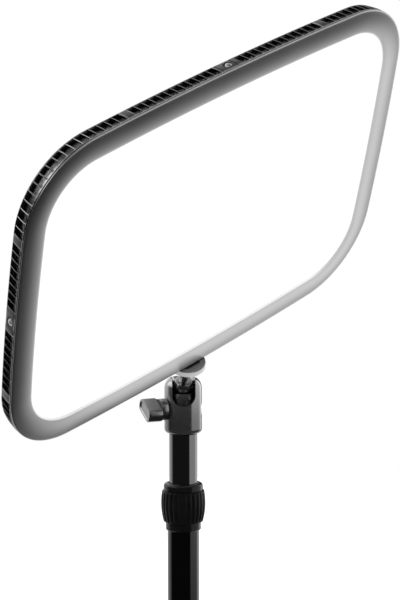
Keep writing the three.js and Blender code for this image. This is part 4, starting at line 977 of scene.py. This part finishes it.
DISC_RADIUS = (disc_high[0] - disc_low[0]) / 2
disc_profile = np.vstack([
    [(3.4, DISC_BOTTOM), (DISC_RADIUS - 1.0, DISC_BOTTOM)],
    arc_line((DISC_RADIUS - 0.6, DISC_BOTTOM + 0.6), 0.6, -90, 0, 4),
    arc_line((DISC_RADIUS - 0.5, DISC_TOP - 0.5), 0.5, 0, 90, 4),
    [(DISC_RADIUS - 4.2, DISC_TOP), (DISC_RADIUS - 4.5, DISC_TOP - 0.8), (3.4, DISC_TOP - 0.8)],
])
points, faces = turned(disc_profile, 96, True)
# The disc's side gets a painted highlight band.
side_highlight = np.broadcast_to(disc_profile[:, 0] > DISC_RADIUS - 0.45, points.shape[:2])
piece("lock_disc_ring", STEM, points, faces, DISC_METAL, "disc", ["lock_disc"], 40,
      side_highlight)

KNOB_LONG, KNOB_SHORT, KNOB_CORNER = 20.4, 9.6, 4.0
KNOB_TILT = math.radians(62)
KNOB_END = 29.95
KNOB_START = 18.95
KNOB_NECK = 7.7


def knob_shape():
    """Rounded rectangles along the knob's axis, drawn in at both ends by equal offsets, with a
    shallow dish in the end face, then a round neck down to the housing."""
    count = 96
    angle = np.linspace(0, 2 * math.pi, count, endpoint=False)
    direction = np.stack([np.cos(angle), np.sin(angle)], -1)
    box = np.array([KNOB_LONG / 2 - KNOB_CORNER, KNOB_SHORT / 2 - KNOB_CORNER])
    core = np.sign(np.round(direction, 9)) * box
    cosine, sine = math.cos(KNOB_TILT), math.sin(KNOB_TILT)
    turn = np.array([[cosine, sine], [-sine, cosine]])

    def section(inset, along):
        shrunk = core * max(0.0, 1 - max(0, inset - KNOB_CORNER) / 6)
        corner = direction * max(KNOB_CORNER - inset, 0.02)
        return np.column_stack([(shrunk + corner) @ turn, np.full(count, along)])

    def circle(radius, along):
        return np.column_stack([direction @ turn * radius, np.full(count, along)])

    face = [section(9.9, KNOB_END - 0.5), section(3.0, KNOB_END - 0.95), section(2.1, KNOB_END - 0.9)]
    face += [section(1.35, KNOB_END - 0.08), section(0.9, KNOB_END), section(0.35, KNOB_END - 0.12)]
    side = [section(0.05, KNOB_END - 0.5), section(0.0, KNOB_END - 1.2), section(0.0, KNOB_START + 1.2)]
    side += [section(0.2, KNOB_START + 0.4), section(0.7, KNOB_START)]
    neck = [circle(KNOB_NECK - 0.2, KNOB_START - 0.1), circle(KNOB_NECK, KNOB_START - 1.2)]
    neck += [circle(KNOB_NECK, HEAD_RADIUS + 0.9), circle(KNOB_NECK - 0.4, HEAD_RADIUS + 0.3)]
    neck += [circle(0, HEAD_RADIUS + 0.3)]
    rings = [circle(0, KNOB_END - 0.5)] + face + side + neck
    return np.stack(rings, 1), grid_faces(count, len(rings), True, False)


points, faces = knob_shape()
piece("clamp_knob", KNOB, points, faces, KNOB_METAL, "knob", ["head_knob"], 38)


# ------------------------------------------------------------------ CAD nodes that stay
def keep(node, look, bevel=0.0):
    """Gives a CAD node its finish. A bevel rounds its welded edges."""
    item = NODES[node]
    item.data.materials.clear()
    item.data.materials.append(look)
    if bevel:
        weld = item.modifiers.new("weld", "WELD")
        weld.merge_threshold = 1e-6
        rounding = item.modifiers.new("round", "BEVEL")
        rounding.width = bevel * MM
        rounding.segments = 2
        rounding.limit_method = "ANGLE"
        rounding.angle_limit = math.radians(40)
        rounding.harden_normals = False


KEPT = [
    (OPAL, 0, ["diffuser"]),
    (WHITE_SHEET, 0, ["diffuser_film", "reflector_sheet", "light_frame"]),
    (ACRYLIC, 0, ["light_guide"]),
    (CIRCUIT, 0, ["led_strip_top", "led_strip_bottom", "led_strip_left", "led_strip_right"]),
    (CIRCUIT, 0, ["controller_board"]),
    (BRASS, 0, ["thread_insert"]),
    (STEEL, 0, ["knob_screw", "side_nut", "socket_screw", "screw_bar", "clamp_screw"]),
    (STEEL, 0, [f"rear_screw_{number}" for number in (1, 2, 3, 4)]),
    (DARK_PLASTIC, 0, ["tube_guide", "collar_collet"]),
    (HEAD_BLACK, 0, ["ball_seat"]),
    (CHASSIS_METAL, 0, ["tube_top_plug"]),
    (BLACK_PLASTIC, 0.3, ["power_inlet", "bar_knob_left", "bar_knob_right"]),
    (DARK_PLASTIC, 0.3, ["power_button", "reset_button"]),
    (CLAMP_PAINT, 0.8, ["clamp_frame"]),
    (CLAMP_PAINT, 0.4, ["pole_socket", "screw_hub", "clamp_foot"]),
    (RUBBER, 0.3, ["jaw_pad", "foot_pad"]),
]
for look, bevel, names in KEPT:
    for node in names:
        keep(node, look, bevel)


# ------------------------------------------------------------------ stage, light and camera
FLOOR_HEIGHT = -740
FLOOR_RADIUS = 7000
CAMERA_LENS = 136.58
CAMERA_FROM_BALL = (-309.6, -1574.1, 230.0)


def floor():
    """A wide disc, pale and plain, a desk's height below the clamp's upper jaw."""
    made, s = material("floor_paper")
    fibre = s.noise(0.02, 3.0, 0.5)
    s.finish(
        Base_Color=s.mix(fibre, 0.88, 0.92),
        Roughness=0.8,
        Emission_Color=0.9,
        Emission_Strength=0.6,
    )
    points, faces = turned([(0, FLOOR_HEIGHT), (FLOOR_RADIUS, FLOOR_HEIGHT)], 96)
    mesh = bpy.data.meshes.new("floor")
    mesh.from_pydata((points.reshape(-1, 3) * MM).tolist(), [], faces.tolist())
    mesh.materials.append(made)
    plane = bpy.data.objects.new("floor", mesh)
    bpy.context.scene.collection.objects.link(plane)
    plane.visible_glossy = False


def surroundings():
    """A white room for the eye. What surfaces mirror is darker towards -Y, pale behind and
    above, with a tall soft light to the right and a high one to the left, and a dark gap between
    the tall light and the pale side behind."""
    world = bpy.data.worlds.new("room")
    bpy.context.scene.world = world
    world.use_nodes = True
    s = Shader(world.node_tree)
    direction = s.node("TexCoord", output="Generated")
    parts = s.node("SeparateXYZ", {}, {0: direction})
    x, y, z = (Link(s, parts.socket.node.outputs[k]) for k in range(3))
    gap = x.rise(0.12, 0.25) * x.rise(0.62, 0.7, 1.0, 0.0) * z.rise(-0.4, -0.3)
    behind = y.rise(0.2, 0.62) * (1.0 - gap)
    above = z.rise(0.35, 0.75) * 0.4
    tall = x.rise(0.62, 0.72) * z.rise(-0.3, -0.16) * z.rise(0.5, 0.75, 1.0, 0.0)
    left = (0 - x).rise(0.5, 0.75) * z.rise(0.1, 0.45) * 1.6
    level = behind * 0.9 + above + tall * 0.95 + left + 0.03
    sight = s.node("LightPath", output="Is Camera Ray")
    seen = s.node("Background", {}, {"Color": (1, 1, 1, 1), "Strength": 1.0})
    room = s.node("Background", {}, {"Color": level, "Strength": 1.0})
    mixed = s.node("MixShader", {}, {0: sight, 1: room, 2: seen})
    s.node("OutputWorld", {}, {"Surface": mixed})


def lamp(name, place, target, size, watts):
    data = bpy.data.lights.new(name, "AREA")
    data.shape = "RECTANGLE"
    data.size, data.size_y = size
    data.energy = watts
    made = bpy.data.objects.new(name, data)
    made.location = place
    made.rotation_euler = (Vector(target) - Vector(place)).to_track_quat("-Z", "Y").to_euler()
    made.visible_glossy = False
    bpy.context.scene.collection.objects.link(made)


def camera():
    """Stands to the left of the light, a little above its head, and looks slightly down."""
    data = bpy.data.cameras.new("camera")
    data.sensor_width = 36
    data.lens = CAMERA_LENS
    data.clip_end = 50
    made = bpy.data.objects.new("camera", data)
    right = Vector((0.97969, -0.20052, -0.00104))
    down = Vector((-0.02202, -0.10247, -0.99449))
    forward = Vector((0.19931, 0.97432, -0.10481))
    turn = Matrix((right, -down, -forward)).transposed().to_4x4()
    stand = (BALL + np.array(CAMERA_FROM_BALL)) * MM
    made.matrix_world = Matrix.Translation(Vector(stand)) @ turn
    bpy.context.scene.collection.objects.link(made)
    bpy.context.scene.camera = made


floor()
surroundings()
head_place = Vector(BALL * MM)
lamp("key", head_place + Vector((-1.2, -0.6, 1.6)), head_place, (1.4, 1.4), 26)
lamp("fill", head_place + Vector((1.6, -0.4, 0.6)), head_place, (1.2, 1.6), 10)
camera()
bpy.context.scene.view_settings.view_transform = "Standard"
bpy.context.scene.view_settings.look = "None"
